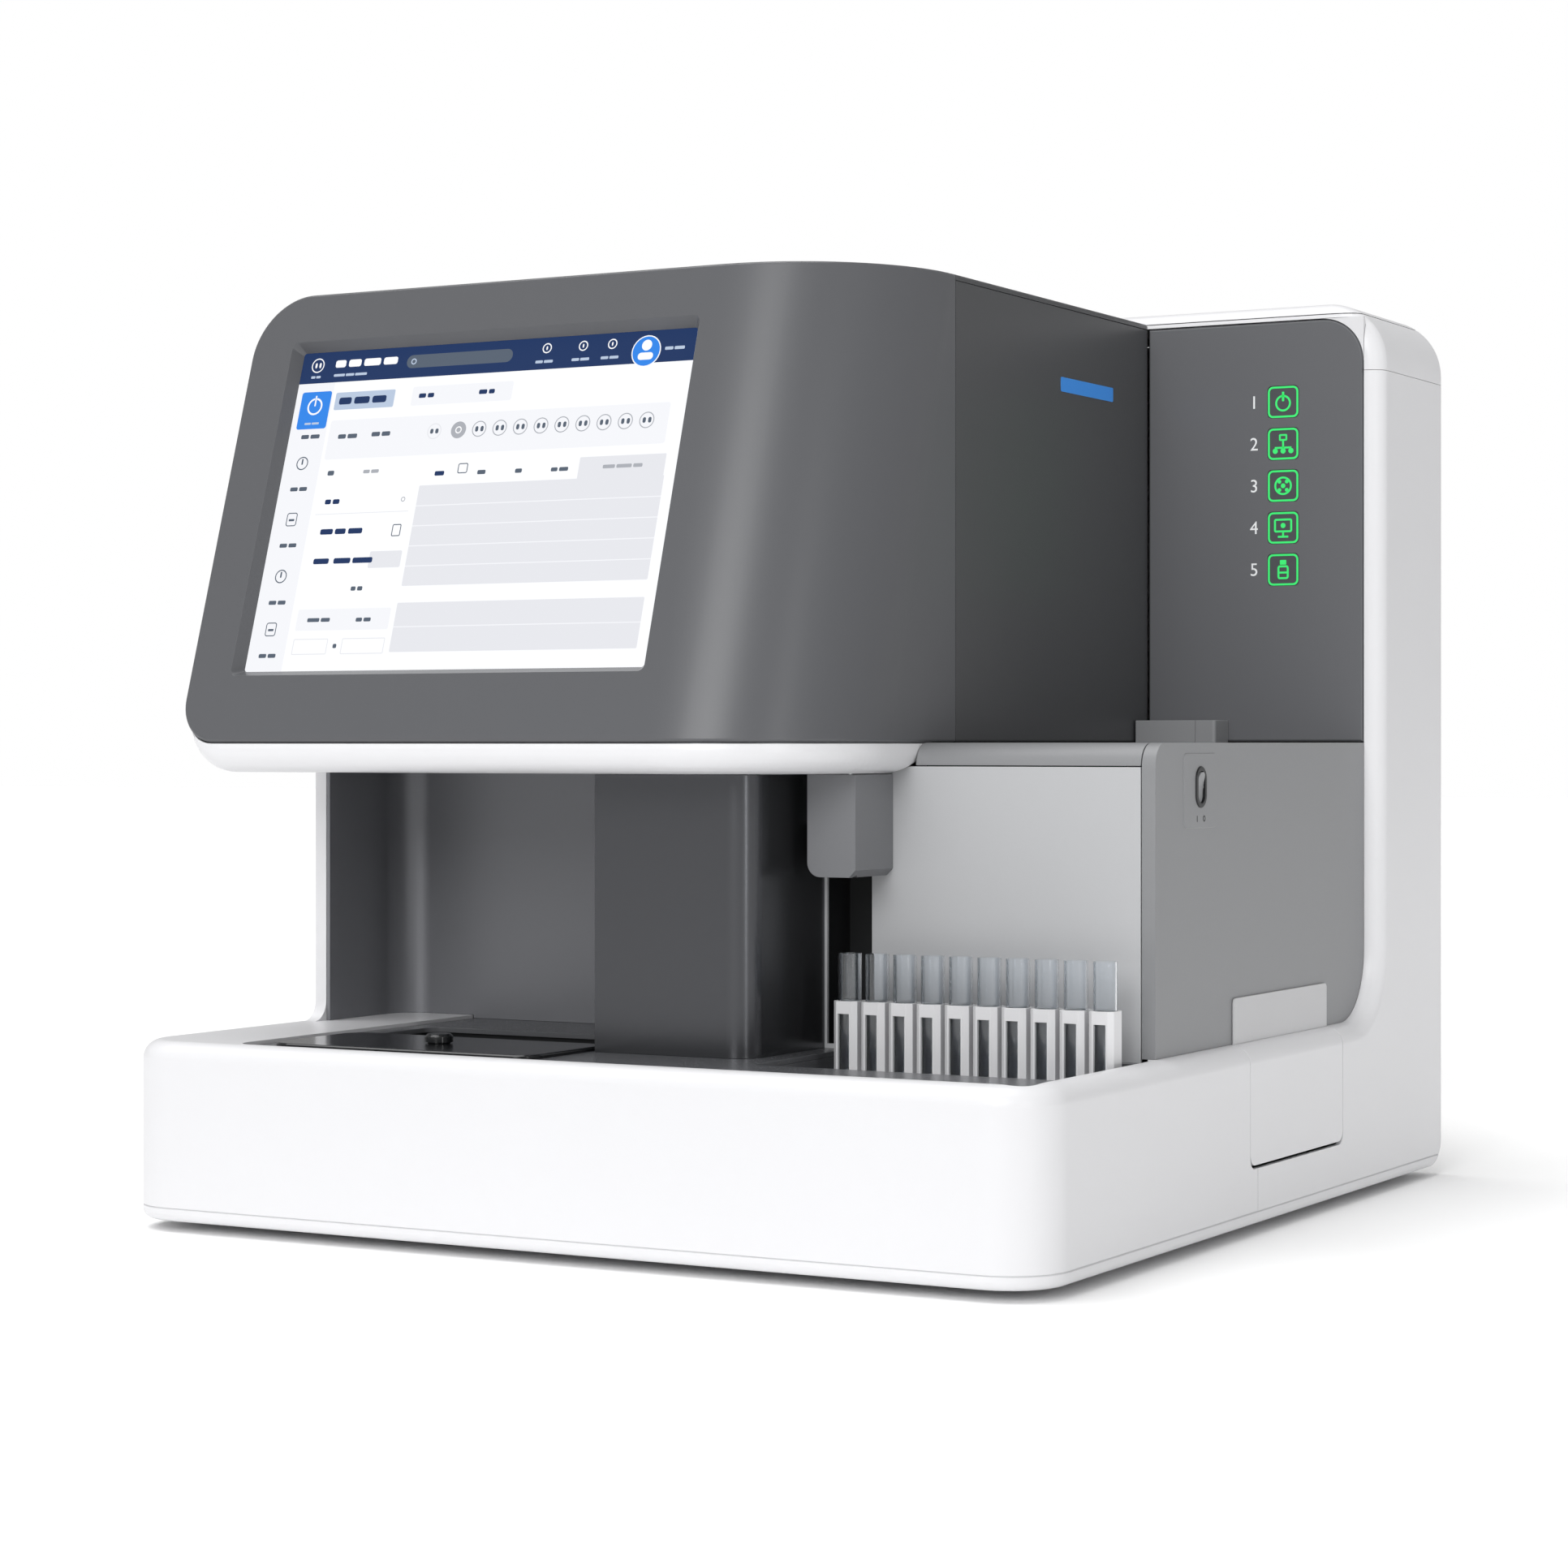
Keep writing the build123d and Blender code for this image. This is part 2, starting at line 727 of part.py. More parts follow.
# Light front panel with the pick-up slot beside the probe housing
slot_left = right - slot_offset
slot_right = slot_left + slot_width
panel_left = pillar_right - 2 * liner_wall
with BuildPart() as front_panel:
    with BuildSketch(at_y(body_front + panel_thickness)):
        field(panel_left, cover_inner_right - seam, deck_top, panel_top)
        field(slot_left, slot_right, deck_top + liner_wall, deck_top + slot_height, mode=Mode.SUBTRACT)
    extrude(amount=panel_thickness)
front_panel.part.label = "front_panel"
export_step(front_panel.part, "parts/front_panel.step")

# Dark channel behind the slot
with BuildPart() as scan_channel:
    with BuildSketch(at_z(deck_top)):
        field(slot_left - channel_wall, slot_right + channel_wall, body_front + panel_thickness,
              body_front + panel_thickness + channel_depth)
        field(slot_left, slot_right, body_front, body_front + panel_thickness + channel_depth - channel_wall,
              mode=Mode.SUBTRACT)
    extrude(amount=slot_height + liner_wall)
scan_channel.part.label = "scan_channel"
export_step(scan_channel.part, "parts/scan_channel.step")

# Shelf cover whose front edge rolls down to the panel
with BuildPart() as shelf_cover:
    with BuildSketch(at_x(head_right + seam)):
        with BuildLine():
            roll = RadiusArc((body_front, panel_top + seam), (body_front + cover_corner_radius, shelf_top),
                             cover_corner_radius)
            Polyline(roll @ 1, (body_rear, shelf_top), (body_rear, floor_low),
                     (body_front + cover_corner_radius, floor_low))
            inner = RadiusArc((body_front + cover_corner_radius, floor_low),
                              (body_front + floor_thickness, panel_top + seam),
                              floor_thickness - cover_corner_radius)
            Line(inner @ 1, roll @ 0)
        make_face()
    extrude(amount=cover_inner_right - head_right - 2 * seam)
shelf_cover.part.label = "shelf_cover"
export_step(shelf_cover.part, "parts/shelf_cover.step")

# Bay liner: left wall and back wall joined by a round corner
with BuildPart() as bay_liner:
    with BuildSketch(at_z(deck_top)) as plan:
        with BuildLine():
            Polyline((cover_inner_left + hairline, body_front), (cover_inner_left + hairline, bay_back + liner_wall),
                     (pillar_left - hairline, bay_back + liner_wall), (pillar_left - hairline, bay_back),
                     (cover_inner_left + hairline + liner_wall, bay_back),
                     (cover_inner_left + hairline + liner_wall, body_front), close=True)
        make_face()
        fillet(plan.vertices().sort_by_distance((cover_inner_left, bay_back + liner_wall))[0],
               bay_corner_radius + liner_wall)
        fillet(plan.vertices().sort_by_distance((cover_inner_left + liner_wall, bay_back))[0], bay_corner_radius)
    extrude(amount=chin_low - pillar_top_gap - deck_top)
    block(left, deck_left + seam / 2, body_front - 1, rear, deck_low, rim_top, mode=Mode.SUBTRACT)
bay_liner.part.label = "bay_liner"
export_step(bay_liner.part, "parts/bay_liner.step")

# Pillar between bay and rack, one folded cover with a round front corner
with BuildPart() as pillar_cover:
    with BuildSketch(at_z(deck_top)) as plan:
        field(pillar_left, pillar_right, pillar_front, bay_back + liner_wall)
        fillet(plan.vertices().sort_by_distance((pillar_right, pillar_front))[0], pillar_corner_radius)
    extrude(amount=chin_low - pillar_top_gap - deck_top)
    with BuildSketch(at_z(deck_top)) as hollow:
        field(pillar_left + liner_wall, pillar_right - liner_wall, pillar_front + liner_wall, bay_back + liner_wall)
        fillet(hollow.vertices().sort_by_distance((pillar_right, pillar_front))[0],
               pillar_corner_radius - liner_wall)
    extrude(amount=chin_low - deck_top, mode=Mode.SUBTRACT)
    block(panel_left - 1, pillar_right + 1, body_front, rear, deck_top, chin_low, mode=Mode.SUBTRACT)
pillar_cover.part.label = "pillar_cover"
export_step(pillar_cover.part, "parts/pillar_cover.step")

# Housing that the sample probe comes down through
housing_right = tube_x + housing_flank
housing_left = housing_right - housing_width
housing_low = chin_low - pillar_top_gap - housing_height
with BuildPart() as probe_housing:
    with BuildSketch(at_y(body_front)) as face:
        field(housing_left, housing_right, housing_low, chin_low - pillar_top_gap)
        fillet(face.vertices().sort_by_distance((housing_left, housing_low))[0], housing_corner_radius)
        chamfer(face.vertices().sort_by_distance((housing_right, housing_low))[0], housing_bevel)
    extrude(amount=housing_reach)
    with BuildSketch(at_y(body_front)) as hollow:
        field(housing_left + housing_wall, housing_right - housing_wall, housing_low + housing_wall, chin_low)
        fillet(hollow.vertices().sort_by_distance((housing_left, housing_low))[0],
               housing_corner_radius - housing_wall)
        chamfer(hollow.vertices().sort_by_distance((housing_right, housing_low))[0], housing_bevel)
    extrude(amount=housing_reach - housing_wall, mode=Mode.SUBTRACT)
    with Locations((tube_x, tube_y, housing_low)):
        Cylinder(probe_port_radius, 4 * housing_wall, mode=Mode.SUBTRACT)
probe_housing.part.label = "probe_housing"
export_step(probe_housing.part, "parts/probe_housing.step")

# Head floor plate, cantilevered forward from the body
with BuildPart() as head_floor:
    add(head_form(head_wall + hairline, floor_low - head_wall - hairline, head_low_left_radius, 0))
    split(bisect_by=at_z(shelf_top), keep=Keep.BOTTOM)
    block(left, right, body_rear - 1, rear, floor_low - 1, shelf_top + 1, mode=Mode.SUBTRACT)
    with Locations((tube_x, tube_y, floor_low)):
        Cylinder(2 * probe_port_radius, 4 * floor_thickness, mode=Mode.SUBTRACT)
head_floor.part.label = "head_floor"
export_step(head_floor.part, "parts/head_floor.step")

# Leaning front of the head, with its screen window
face_plane = Plane(
    origin=(head_left + screen_inset_left + screen_width / 2, lean_y(shelf_top), shelf_top),
    x_dir=(1, 0, 0),
    z_dir=(0, -cos(lean), sin(lean)),
)
screen_middle = screen_rise + screen_height / 2
with BuildPart() as head_front_cover:
    add(head_outer)
    add(head_inner, mode=Mode.SUBTRACT)
    split(bisect_by=Plane((0, head_split - seam / 2, 0), z_dir=(0, 1, 0)), keep=Keep.BOTTOM)
    block(head_left + chin_wall * 3, head_right - chin_wall * 3, tube_y - 6 * probe_port_radius, head_split,
          shelf_top - 1, shelf_top + head_wall + 1, mode=Mode.SUBTRACT)
    with BuildSketch(face_plane.offset(-bezel_depth)):
        with Locations((0, screen_middle)):
            RectangleRounded(screen_width + 2 * bezel_width, screen_height + 2 * bezel_width, bezel_width / 2)
    extrude(amount=bezel_depth - head_wall)
    with BuildSketch(face_plane.offset(-bezel_depth)):
        with Locations((0, screen_middle)):
            RectangleRounded(screen_width, screen_height, screen_radius)
    with BuildSketch(face_plane):
        with Locations((0, screen_middle)):
            RectangleRounded(screen_width + 2 * bezel_slope, screen_height + 2 * bezel_slope, 2 * screen_radius)
    loft(mode=Mode.SUBTRACT)
head_front_cover.part.label = "head_front_cover"
export_step(head_front_cover.part, "parts/head_front_cover.step")

# Touch glass behind the window
with BuildPart() as display_glass:
    with BuildSketch(face_plane.offset(-bezel_depth - glass_thickness)):
        with Locations((0, screen_middle)):
            RectangleRounded(screen_width + 2 * glass_margin, screen_height + 2 * glass_margin, screen_radius)
    extrude(amount=glass_thickness)
display_glass.part.label = "display_glass"
export_step(display_glass.part, "parts/display_glass.step")

# Display module behind the glass
with BuildPart() as display_module:
    with BuildSketch(face_plane.offset(-bezel_depth - glass_thickness - module_thickness)):
        with Locations((0, screen_middle)):
            RectangleRounded(screen_width + 2 * bezel_width - module_margin,
                             screen_height + 2 * bezel_width - module_margin, screen_radius)
    extrude(amount=module_thickness)
    with BuildSketch(face_plane.offset(-bezel_depth - glass_thickness - module_thickness)):
        with Locations((0, screen_middle)):
            with GridLocations(screen_width / 2, screen_height / 2, 2, 2):
                RectangleRounded(screen_width / 3, screen_height / 3, screen_radius)
    extrude(amount=module_thickness / 3, mode=Mode.SUBTRACT)
display_module.part.label = "display_module"
export_step(display_module.part, "parts/display_module.step")

# Hood behind the seam: both flanks and the floor returns, open at the back
hood_top = head_top - top_cover_thickness
with BuildPart() as head_hood:
    add(head_outer)
    add(head_inner, mode=Mode.SUBTRACT)
    split(bisect_by=Plane((0, head_split + seam / 2, 0), z_dir=(0, 1, 0)), keep=Keep.TOP)
    split(bisect_by=at_z(hood_top - hairline), keep=Keep.BOTTOM)
    block(head_left + chin_wall * 3, head_right - chin_wall * 3, head_split + chin_wall * 3,
          body_rear - chin_wall * 3, shelf_top - 1, shelf_top + head_wall + 1, mode=Mode.SUBTRACT)
head_hood.part.label = "head_hood"
export_step(head_hood.part, "parts/head_hood.step")

# Flat top cover laid on the hood
with BuildPart() as head_top_cover:
    add(head_outer)
    split(bisect_by=Plane((0, head_split + seam / 2, 0), z_dir=(0, 1, 0)), keep=Keep.TOP)
    split(bisect_by=at_z(hood_top), keep=Keep.TOP)
head_top_cover.part.label = "head_top_cover"
export_step(head_top_cover.part, "parts/head_top_cover.step")

# White chin under the head: a shallow pan that wraps the head's lower left corner
chin_turn = head_right - head_round + 5 * chin_wall
with BuildPart() as head_chin:
    add(head_form(0, chin_low, chin_left_radius, 0))
    brim = head_chin.edges().filter_by(Axis.X).group_by(Axis.Z)[0].sort_by(Axis.Y)[0]
    fillet(brim, chin_edge_radius)
    split(bisect_by=at_z(shelf_top + head_low_left_radius), keep=Keep.BOTTOM)
    add(head_form(0, shelf_top - seam, head_low_left_radius, 0), mode=Mode.SUBTRACT)
    with BuildSketch(at_x(left)):
        with BuildLine():
            rise = JernArc((rise_start, chin_low), (1, 0), chin_rise_radius, chin_rise_angle)
            slope = Line(rise @ 1, (chin_tail, shelf_top))
            Polyline(slope @ 1, (chin_tail, tower_top), (rear, tower_top), (rear, chin_low - 1),
                     (rise_start, chin_low - 1), rise @ 0)
        make_face()
    extrude(amount=base_width, mode=Mode.SUBTRACT)
    add(head_form(head_wall, floor_low - head_wall, head_low_left_radius, 0), mode=Mode.SUBTRACT)
    with BuildSketch(at_z(chin_low + chin_wall)) as hollow:
        field(head_left + 4 * chin_wall, chin_turn, head_foot + 2 * chin_wall, rise_start - chin_wall)
        field(chin_turn - 1, head_right - 2 * chin_wall, tube_y - 3 * probe_port_radius, rise_start - chin_wall)
    extrude(amount=chin_drop, mode=Mode.SUBTRACT)
    with BuildSketch(at_z(chin_low + chin_wall)):
        with Locations((head_left + head_round, pillar_front), (0, pillar_front)):
            Circle(chin_boss_radius)
    extrude(amount=floor_low - chin_low - chin_wall)
    with Locations((tube_x, tube_y, chin_low)):
        Cylinder(probe_port_radius, 4 * chin_wall, mode=Mode.SUBTRACT)
head_chin.part.label = "head_chin"
export_step(head_chin.part, "parts/head_chin.step")

# Dark panel on the tower's front, with a field for each indicator
with BuildPart() as icon_panel:
    with BuildSketch(at_y(tower_front + icon_panel_thickness)) as outline:
        field(head_right + seam, body_right - seam, shelf_top + seam, frame_top - seam)
        fillet(outline.vertices().sort_by_distance((body_right, frame_top))[0], frame_corner_radius - seam)
    extrude(amount=icon_panel_thickness)
    chamfer(icon_panel.faces().sort_by(Axis.Y)[0].edges(), icon_panel_bevel)
    with BuildSketch(at_y(tower_front)):
        for index in range(indicator_count):
            with Locations((right - indicator_offset, tower_top - indicator_drop - index * indicator_pitch)):
                RectangleRounded(indicator_width, indicator_height, indicator_radius)
    extrude(amount=-lens_depth, mode=Mode.SUBTRACT)
icon_panel.part.label = "icon_panel"
export_step(icon_panel.part, "parts/icon_panel.step")

# Indicator lenses set into the panel
with BuildPart() as indicator_lenses:
    with BuildSketch(at_y(tower_front + lens_depth)):
        for index in range(indicator_count):
            with Locations((right - indicator_offset, tower_top - indicator_drop - index * indicator_pitch)):
                RectangleRounded(indicator_width - hairline, indicator_height - hairline,
                                 indicator_radius - hairline / 2)
    extrude(amount=lens_depth - hairline)
indicator_lenses.part.label = "indicator_lenses"
export_step(indicator_lenses.part, "parts/indicator_lenses.step")

# Small housing on the shelf in the corner of head and tower
with BuildPart() as shelf_box:
    with BuildSketch(at_z(shelf_top)):
        field(head_right + 2 * seam, head_right + shelf_box_length, tower_front - shelf_box_depth,
              tower_front - hairline)
    extrude(amount=shelf_box_height)
    fillet(shelf_box.edges().filter_by(Axis.Z).group_by(Axis.X)[-1].sort_by(Axis.Y)[0], shelf_box_radius)
    chamfer(shelf_box.edges().group_by(Axis.Z)[-1], hairline)
    with BuildSketch(at_y(tower_front - shelf_box_depth)):
        field(head_right + shelf_box_length - shelf_box_end - seam, head_right + shelf_box_length - shelf_box_end,
              shelf_top, shelf_top + shelf_box_height)
    extrude(amount=-seam, mode=Mode.SUBTRACT)
shelf_box.part.label = "shelf_box"
export_step(shelf_box.part, "parts/shelf_box.step")

# Steel rear panel behind the shell's opening, with the fan grille and the vents
panel_rear = rear - shell_wall
panel_z0, panel_z1 = base_low + rear_opening_low - rear_lap, tower_top - rear_opening_drop + rear_lap
socket_split = base_low + socket_panel_height
with BuildPart() as rear_panel:
    with BuildSketch(at_y(panel_rear)):
        round_field(left + rear_opening_margin - rear_lap, right - rear_opening_margin + rear_lap,
                    panel_z0, panel_z1, rear_opening_radius)
        field(left, right, base_low, socket_split + hairline, mode=Mode.SUBTRACT)
        with Locations((left + fan_offset, base_low + fan_level)):
            for ring in range(grille_rings):
                Circle(fan_bore - ring * grille_pitch, mode=Mode.SUBTRACT)
                Circle(fan_bore - ring * grille_pitch - vent_width)
            Rectangle(2 * fan_bore, grille_spoke)
            Rectangle(grille_spoke, 2 * fan_bore)
        with Locations((right - fan_offset, base_low + fan_level)):
            with GridLocations(0, vent_pitch, 1, vent_count):
                SlotOverall(vent_length, vent_width, mode=Mode.SUBTRACT)
    extrude(amount=rear_sheet)
rear_panel.part.label = "rear_panel"
export_step(rear_panel.part, "parts/rear_panel.step")

# Connector panel along the foot of the rear panel, with the mouths of the inlet and the data sockets
with BuildPart() as socket_panel:
    with BuildSketch(at_y(panel_rear)) as sheet:
        field(left + rear_opening_margin - rear_lap, right - rear_opening_margin + rear_lap, panel_z0,
              socket_split - hairline)
        fillet(sheet.vertices().group_by(Axis.Y)[0], rear_opening_radius)
        with Locations((left + inlet_offset, base_low + inlet_level)):
            Rectangle(inlet_width, inlet_height, mode=Mode.SUBTRACT)
        with Locations((right - inlet_offset + port_offset, base_low + inlet_level)):
            Rectangle(port_width, port_height, mode=Mode.SUBTRACT)
    extrude(amount=rear_sheet)
socket_panel.part.label = "socket_panel"
export_step(socket_panel.part, "parts/socket_panel.step")

# Cooling fan on the rear panel: frame with struts, and the bladed rotor
fan_x, fan_z = left + fan_offset, base_low + fan_level
fan_rear = panel_rear - rear_sheet
with BuildPart() as fan_frame:
    with BuildSketch(at_y(fan_rear)):
        with Locations((fan_x, fan_z)):
            RectangleRounded(fan_size, fan_size, fan_corner_radius)
            Circle(fan_bore, mode=Mode.SUBTRACT)
    extrude(amount=fan_depth)
    with BuildSketch(at_y(fan_rear)):
        with Locations((fan_x, fan_z)):
            Circle(fan_hub)
            for turn in (45, 135):
                Rectangle(2 * fan_bore + fan_strut_width, fan_strut_width, rotation=turn)
            Circle(fan_axle + shaft_clearance, mode=Mode.SUBTRACT)
    extrude(amount=fan_strut)
fan_frame.part.label = "fan_frame"
export_step(fan_frame.part, "parts/fan_frame.step")

with BuildPart() as fan_rotor:
    with BuildSketch(at_y(fan_rear - fan_strut - hairline)):
        with Locations((fan_x, fan_z)):
            Circle(fan_hub - hairline)
    extrude(amount=fan_depth - fan_strut - fan_axle)
    chamfer(fan_rotor.edges().group_by(Axis.Y)[0], fan_blade)
    with BuildSketch(at_y(fan_rear - hairline)):
        with Locations((fan_x, fan_z)):
            Circle(fan_axle)
    extrude(amount=fan_strut)
    for blade in range(fan_blades):
        turn = 360 / fan_blades * blade
        spoke = (cos(radians(turn)), 0, sin(radians(turn)))
        across = (-sin(radians(turn)) * cos(radians(fan_pitch)), sin(radians(fan_pitch)),
                  cos(radians(turn)) * cos(radians(fan_pitch)))
        root = Plane((fan_x + spoke[0] * (fan_hub - fan_axle), fan_rear - fan_depth / 2 - hairline,
                      fan_z + spoke[2] * (fan_hub - fan_axle)), x_dir=across, z_dir=spoke)
        with BuildSketch(root):
            Rectangle(fan_chord, fan_blade)
        extrude(amount=fan_bore - fan_tip_gap - fan_hub + fan_axle / 2)
fan_rotor.part.label = "fan_rotor"
export_step(fan_rotor.part, "parts/fan_rotor.step")

# Mains inlet with its three blades
with BuildPart() as power_inlet:
    with BuildSketch(at_y(panel_rear - rear_sheet)):
        with Locations((left + inlet_offset, base_low + inlet_level)):
            Rectangle(inlet_width + 2 * inlet_flange, inlet_height + 2 * inlet_flange)
    extrude(amount=inlet_wall)
    with BuildSketch(at_y(panel_rear)):
        with Locations((left + inlet_offset, base_low + inlet_level)):
            Rectangle(inlet_width - hairline, inlet_height - hairline)
    extrude(amount=inlet_depth)
    with BuildSketch(at_y(panel_rear)):
        with Locations((left + inlet_offset, base_low + inlet_level)):
            RectangleRounded(inlet_width - 2 * inlet_wall, inlet_height - 2 * inlet_wall, inlet_wall)
    extrude(amount=inlet_depth - inlet_wall, mode=Mode.SUBTRACT)
    with BuildSketch(at_y(panel_rear - inlet_wall)):
        with Locations((left + inlet_offset, base_low + inlet_level)):
            with Locations((-blade_pitch, -blade_drop), (0, blade_width), (blade_pitch, -blade_drop)):
                Rectangle(blade_width, blade_height)
    extrude(amount=inlet_depth - inlet_wall)
power_inlet.part.label = "power_inlet"
export_step(power_inlet.part, "parts/power_inlet.step")

# Data sockets: one network jack and two small ports
with BuildPart() as data_ports:
    with BuildSketch(at_y(panel_rear)):
        with Locations((right - inlet_offset + port_offset, base_low + inlet_level)):
            Rectangle(port_width - hairline, port_height - hairline)
    extrude(amount=inlet_depth / 2)
    with BuildSketch(at_y(panel_rear - rear_sheet)):
        with Locations((right - inlet_offset + port_offset, base_low + inlet_level)):
            Rectangle(port_width + 2 * inlet_flange, port_height + 2 * inlet_flange)
    extrude(amount=inlet_wall)
    with BuildSketch(at_y(panel_rear)):
        with Locations((right - inlet_offset + port_offset, base_low + inlet_level)):
            with Locations((-port_width / 3, 0)):
                Rectangle(jack_width, jack_height)
            with Locations((0, 0), (port_width / 3, 0)):
                Rectangle(small_port_width, small_port_height)
    extrude(amount=inlet_depth / 2 - inlet_wall, mode=Mode.SUBTRACT)
data_ports.part.label = "data_ports"
export_step(data_ports.part, "parts/data_ports.step")

# Power supply in its slotted case, on the floor plate under the tower
with BuildPart() as power_supply:
    block(-supply_width, 0, tower_front + 2 * rear_lap, tower_front + 2 * rear_lap + supply_depth,
          plate_top, plate_top + supply_height)
    chamfer(power_supply.edges().filter_by(Axis.X).group_by(Axis.Z)[-1], supply_edge_radius)
    with BuildSketch(at_z(plate_top + supply_height)):
        with Locations((-supply_width / 2, tower_front + 2 * rear_lap + supply_depth / 2)):
            with GridLocations(vent_pitch * 2, 0, vent_count - 2, 1):
                Rectangle(vent_width, supply_slot_length)
    extrude(amount=-supply_slot_depth, mode=Mode.SUBTRACT)
power_supply.part.label = "power_supply"
export_step(power_supply.part, "parts/power_supply.step")

# Controller board with its four spacers, inside the rear panel
board_rear = panel_rear - rear_sheet - spacer_length
board_x = fan_x + fan_size / 2 + board_fan_gap + board_width / 2
board_z = base_low + board_level + board_height / 2
with BuildPart() as main_board:
    with BuildSketch(at_y(board_rear)):
        with Locations((board_x, board_z)):
            Rectangle(board_width, board_height)
    extrude(amount=board_thickness)
    with BuildSketch(at_y(board_rear - board_thickness)):
        with Locations((board_x, board_z)):
            with Locations((-board_width / 5, board_height / 5), (board_width / 5, 0), (0, -board_height / 4)):
                Rectangle(board_width / 5, board_height / 8)
    extrude(amount=chip_height)
    with BuildSketch(at_y(panel_rear - rear_sheet)):
        with Locations((board_x, board_z)):
            with GridLocations(board_width - 4 * spacer_radius, board_height - 4 * spacer_radius, 2, 2):
                Circle(spacer_radius)
    extrude(amount=spacer_length)
main_board.part.label = "main_board"
export_step(main_board.part, "parts/main_board.step")

# Side frames and the sheet that ties them, which carries the head
frame_left_x = cover_inner_left + frame_gap
frame_right_x = cover_inner_right - frame_gap
frame_back = body_rear - frame_gap
with BuildPart() as left_frame:
    with BuildSketch(at_x(frame_left_x)):
        field(bay_back + liner_wall + frame_gap, frame_back, plate_top, frame_top_low)
        field(bay_back + liner_wall + frame_gap + frame_rib, frame_back - frame_rib, rim_top + frame_rib,
              frame_top_low - frame_rib, mode=Mode.SUBTRACT)
    extrude(amount=frame_sheet)
left_frame.part.label = "left_frame"
export_step(left_frame.part, "parts/left_frame.step")

with BuildPart() as right_frame:
    with BuildSketch(at_x(frame_right_x - frame_sheet)):
        field(bay_back + liner_wall + frame_gap, frame_back, plate_top, frame_top_low)
        field(bay_back + liner_wall + frame_gap + frame_rib, frame_back - frame_rib, rim_top + frame_rib,
              frame_top_low - frame_rib, mode=Mode.SUBTRACT)
        field(drawer_y0 - frame_gap, drawer_y1 + frame_gap, plate_top, rim_top - shell_wall, mode=Mode.SUBTRACT)
    extrude(amount=frame_sheet)
right_frame.part.label = "right_frame"
export_step(right_frame.part, "parts/right_frame.step")

with BuildPart() as body_top_frame:
    with BuildSketch(at_z(frame_top_low)):
        field(frame_left_x, frame_right_x, chin_tail + seam, frame_back)
        field(frame_left_x + 2 * frame_rib, head_right - 2 * frame_rib, bay_back + frame_rib,
              frame_back - frame_rib, mode=Mode.SUBTRACT)
    extrude(amount=plate_thickness)
body_top_frame.part.label = "body_top_frame"
export_step(body_top_frame.part, "parts/body_top_frame.step")

# Sample rack: ten chamfered cells with a window each, on a bar and a spine
tube_radius = tube_diameter / 2
cell_low, cell_high = rack_low + rack_bar_height, rack_top - window_top_gap
cell_back = tube_y + rack_cell_depth / 2
with BuildPart() as sample_rack:
    with BuildSketch(at_z(rack_low)) as cells:
        with Locations((rack_middle, tube_y)):
            with GridLocations(tube_pitch, 0, tube_count, 1):
                Rectangle(rack_cell_width, rack_cell_depth)
        chamfer(cells.vertices(), rack_cell_chamfer)
    extrude(amount=rack_top - rack_low)
    block(rack_middle - rack_length / 2 + rack_cell_chamfer, rack_middle + rack_length / 2 - rack_cell_chamfer,
          cell_back - rack_cell_depth + hairline, cell_back, rack_low, cell_low)
    block(rack_middle - rack_length / 2 + rack_cell_chamfer, rack_middle + rack_length / 2 - rack_cell_chamfer,
          cell_back - rack_spine, cell_back, rack_low, cell_high)
    with BuildSketch(at_z(tube_low)):
        with Locations((rack_middle, tube_y)):
            with GridLocations(tube_pitch, 0, tube_count, 1):
                Circle(tube_radius + tube_clearance)
    extrude(amount=tube_length, mode=Mode.SUBTRACT)
    with BuildSketch(at_y(tube_y)):
        with Locations((rack_middle, (cell_low + cell_high) / 2)):
            with GridLocations(tube_pitch, 0, tube_count, 1):
                Rectangle(window_width, cell_high - cell_low)
    extrude(amount=rack_cell_depth, mode=Mode.SUBTRACT)
sample_rack.part.label = "sample_rack"
export_step(sample_rack.part, "parts/sample_rack.step")

# Sample tubes with round bottoms
with BuildPart() as sample_tubes:
    with BuildSketch(at_z(tube_low + tube_radius)):
        with Locations((rack_middle, tube_y)):
            with GridLocations(tube_pitch, 0, tube_count, 1):
                Circle(tube_radius)
    extrude(amount=tube_length - tube_radius)
    with Locations((rack_middle, tube_y, tube_low + tube_radius)):
        with GridLocations(tube_pitch, 0, tube_count, 1):
            Sphere(tube_radius)
            Sphere(tube_radius - tube_wall, mode=Mode.SUBTRACT)
    with BuildSketch(at_z(tube_low + tube_radius)):
        with Locations((rack_middle, tube_y)):
            with GridLocations(tube_pitch, 0, tube_count, 1):
                Circle(tube_radius - tube_wall)
    extrude(amount=tube_length, mode=Mode.SUBTRACT)
sample_tubes.part.label = "sample_tubes"
export_step(sample_tubes.part, "parts/sample_tubes.step")

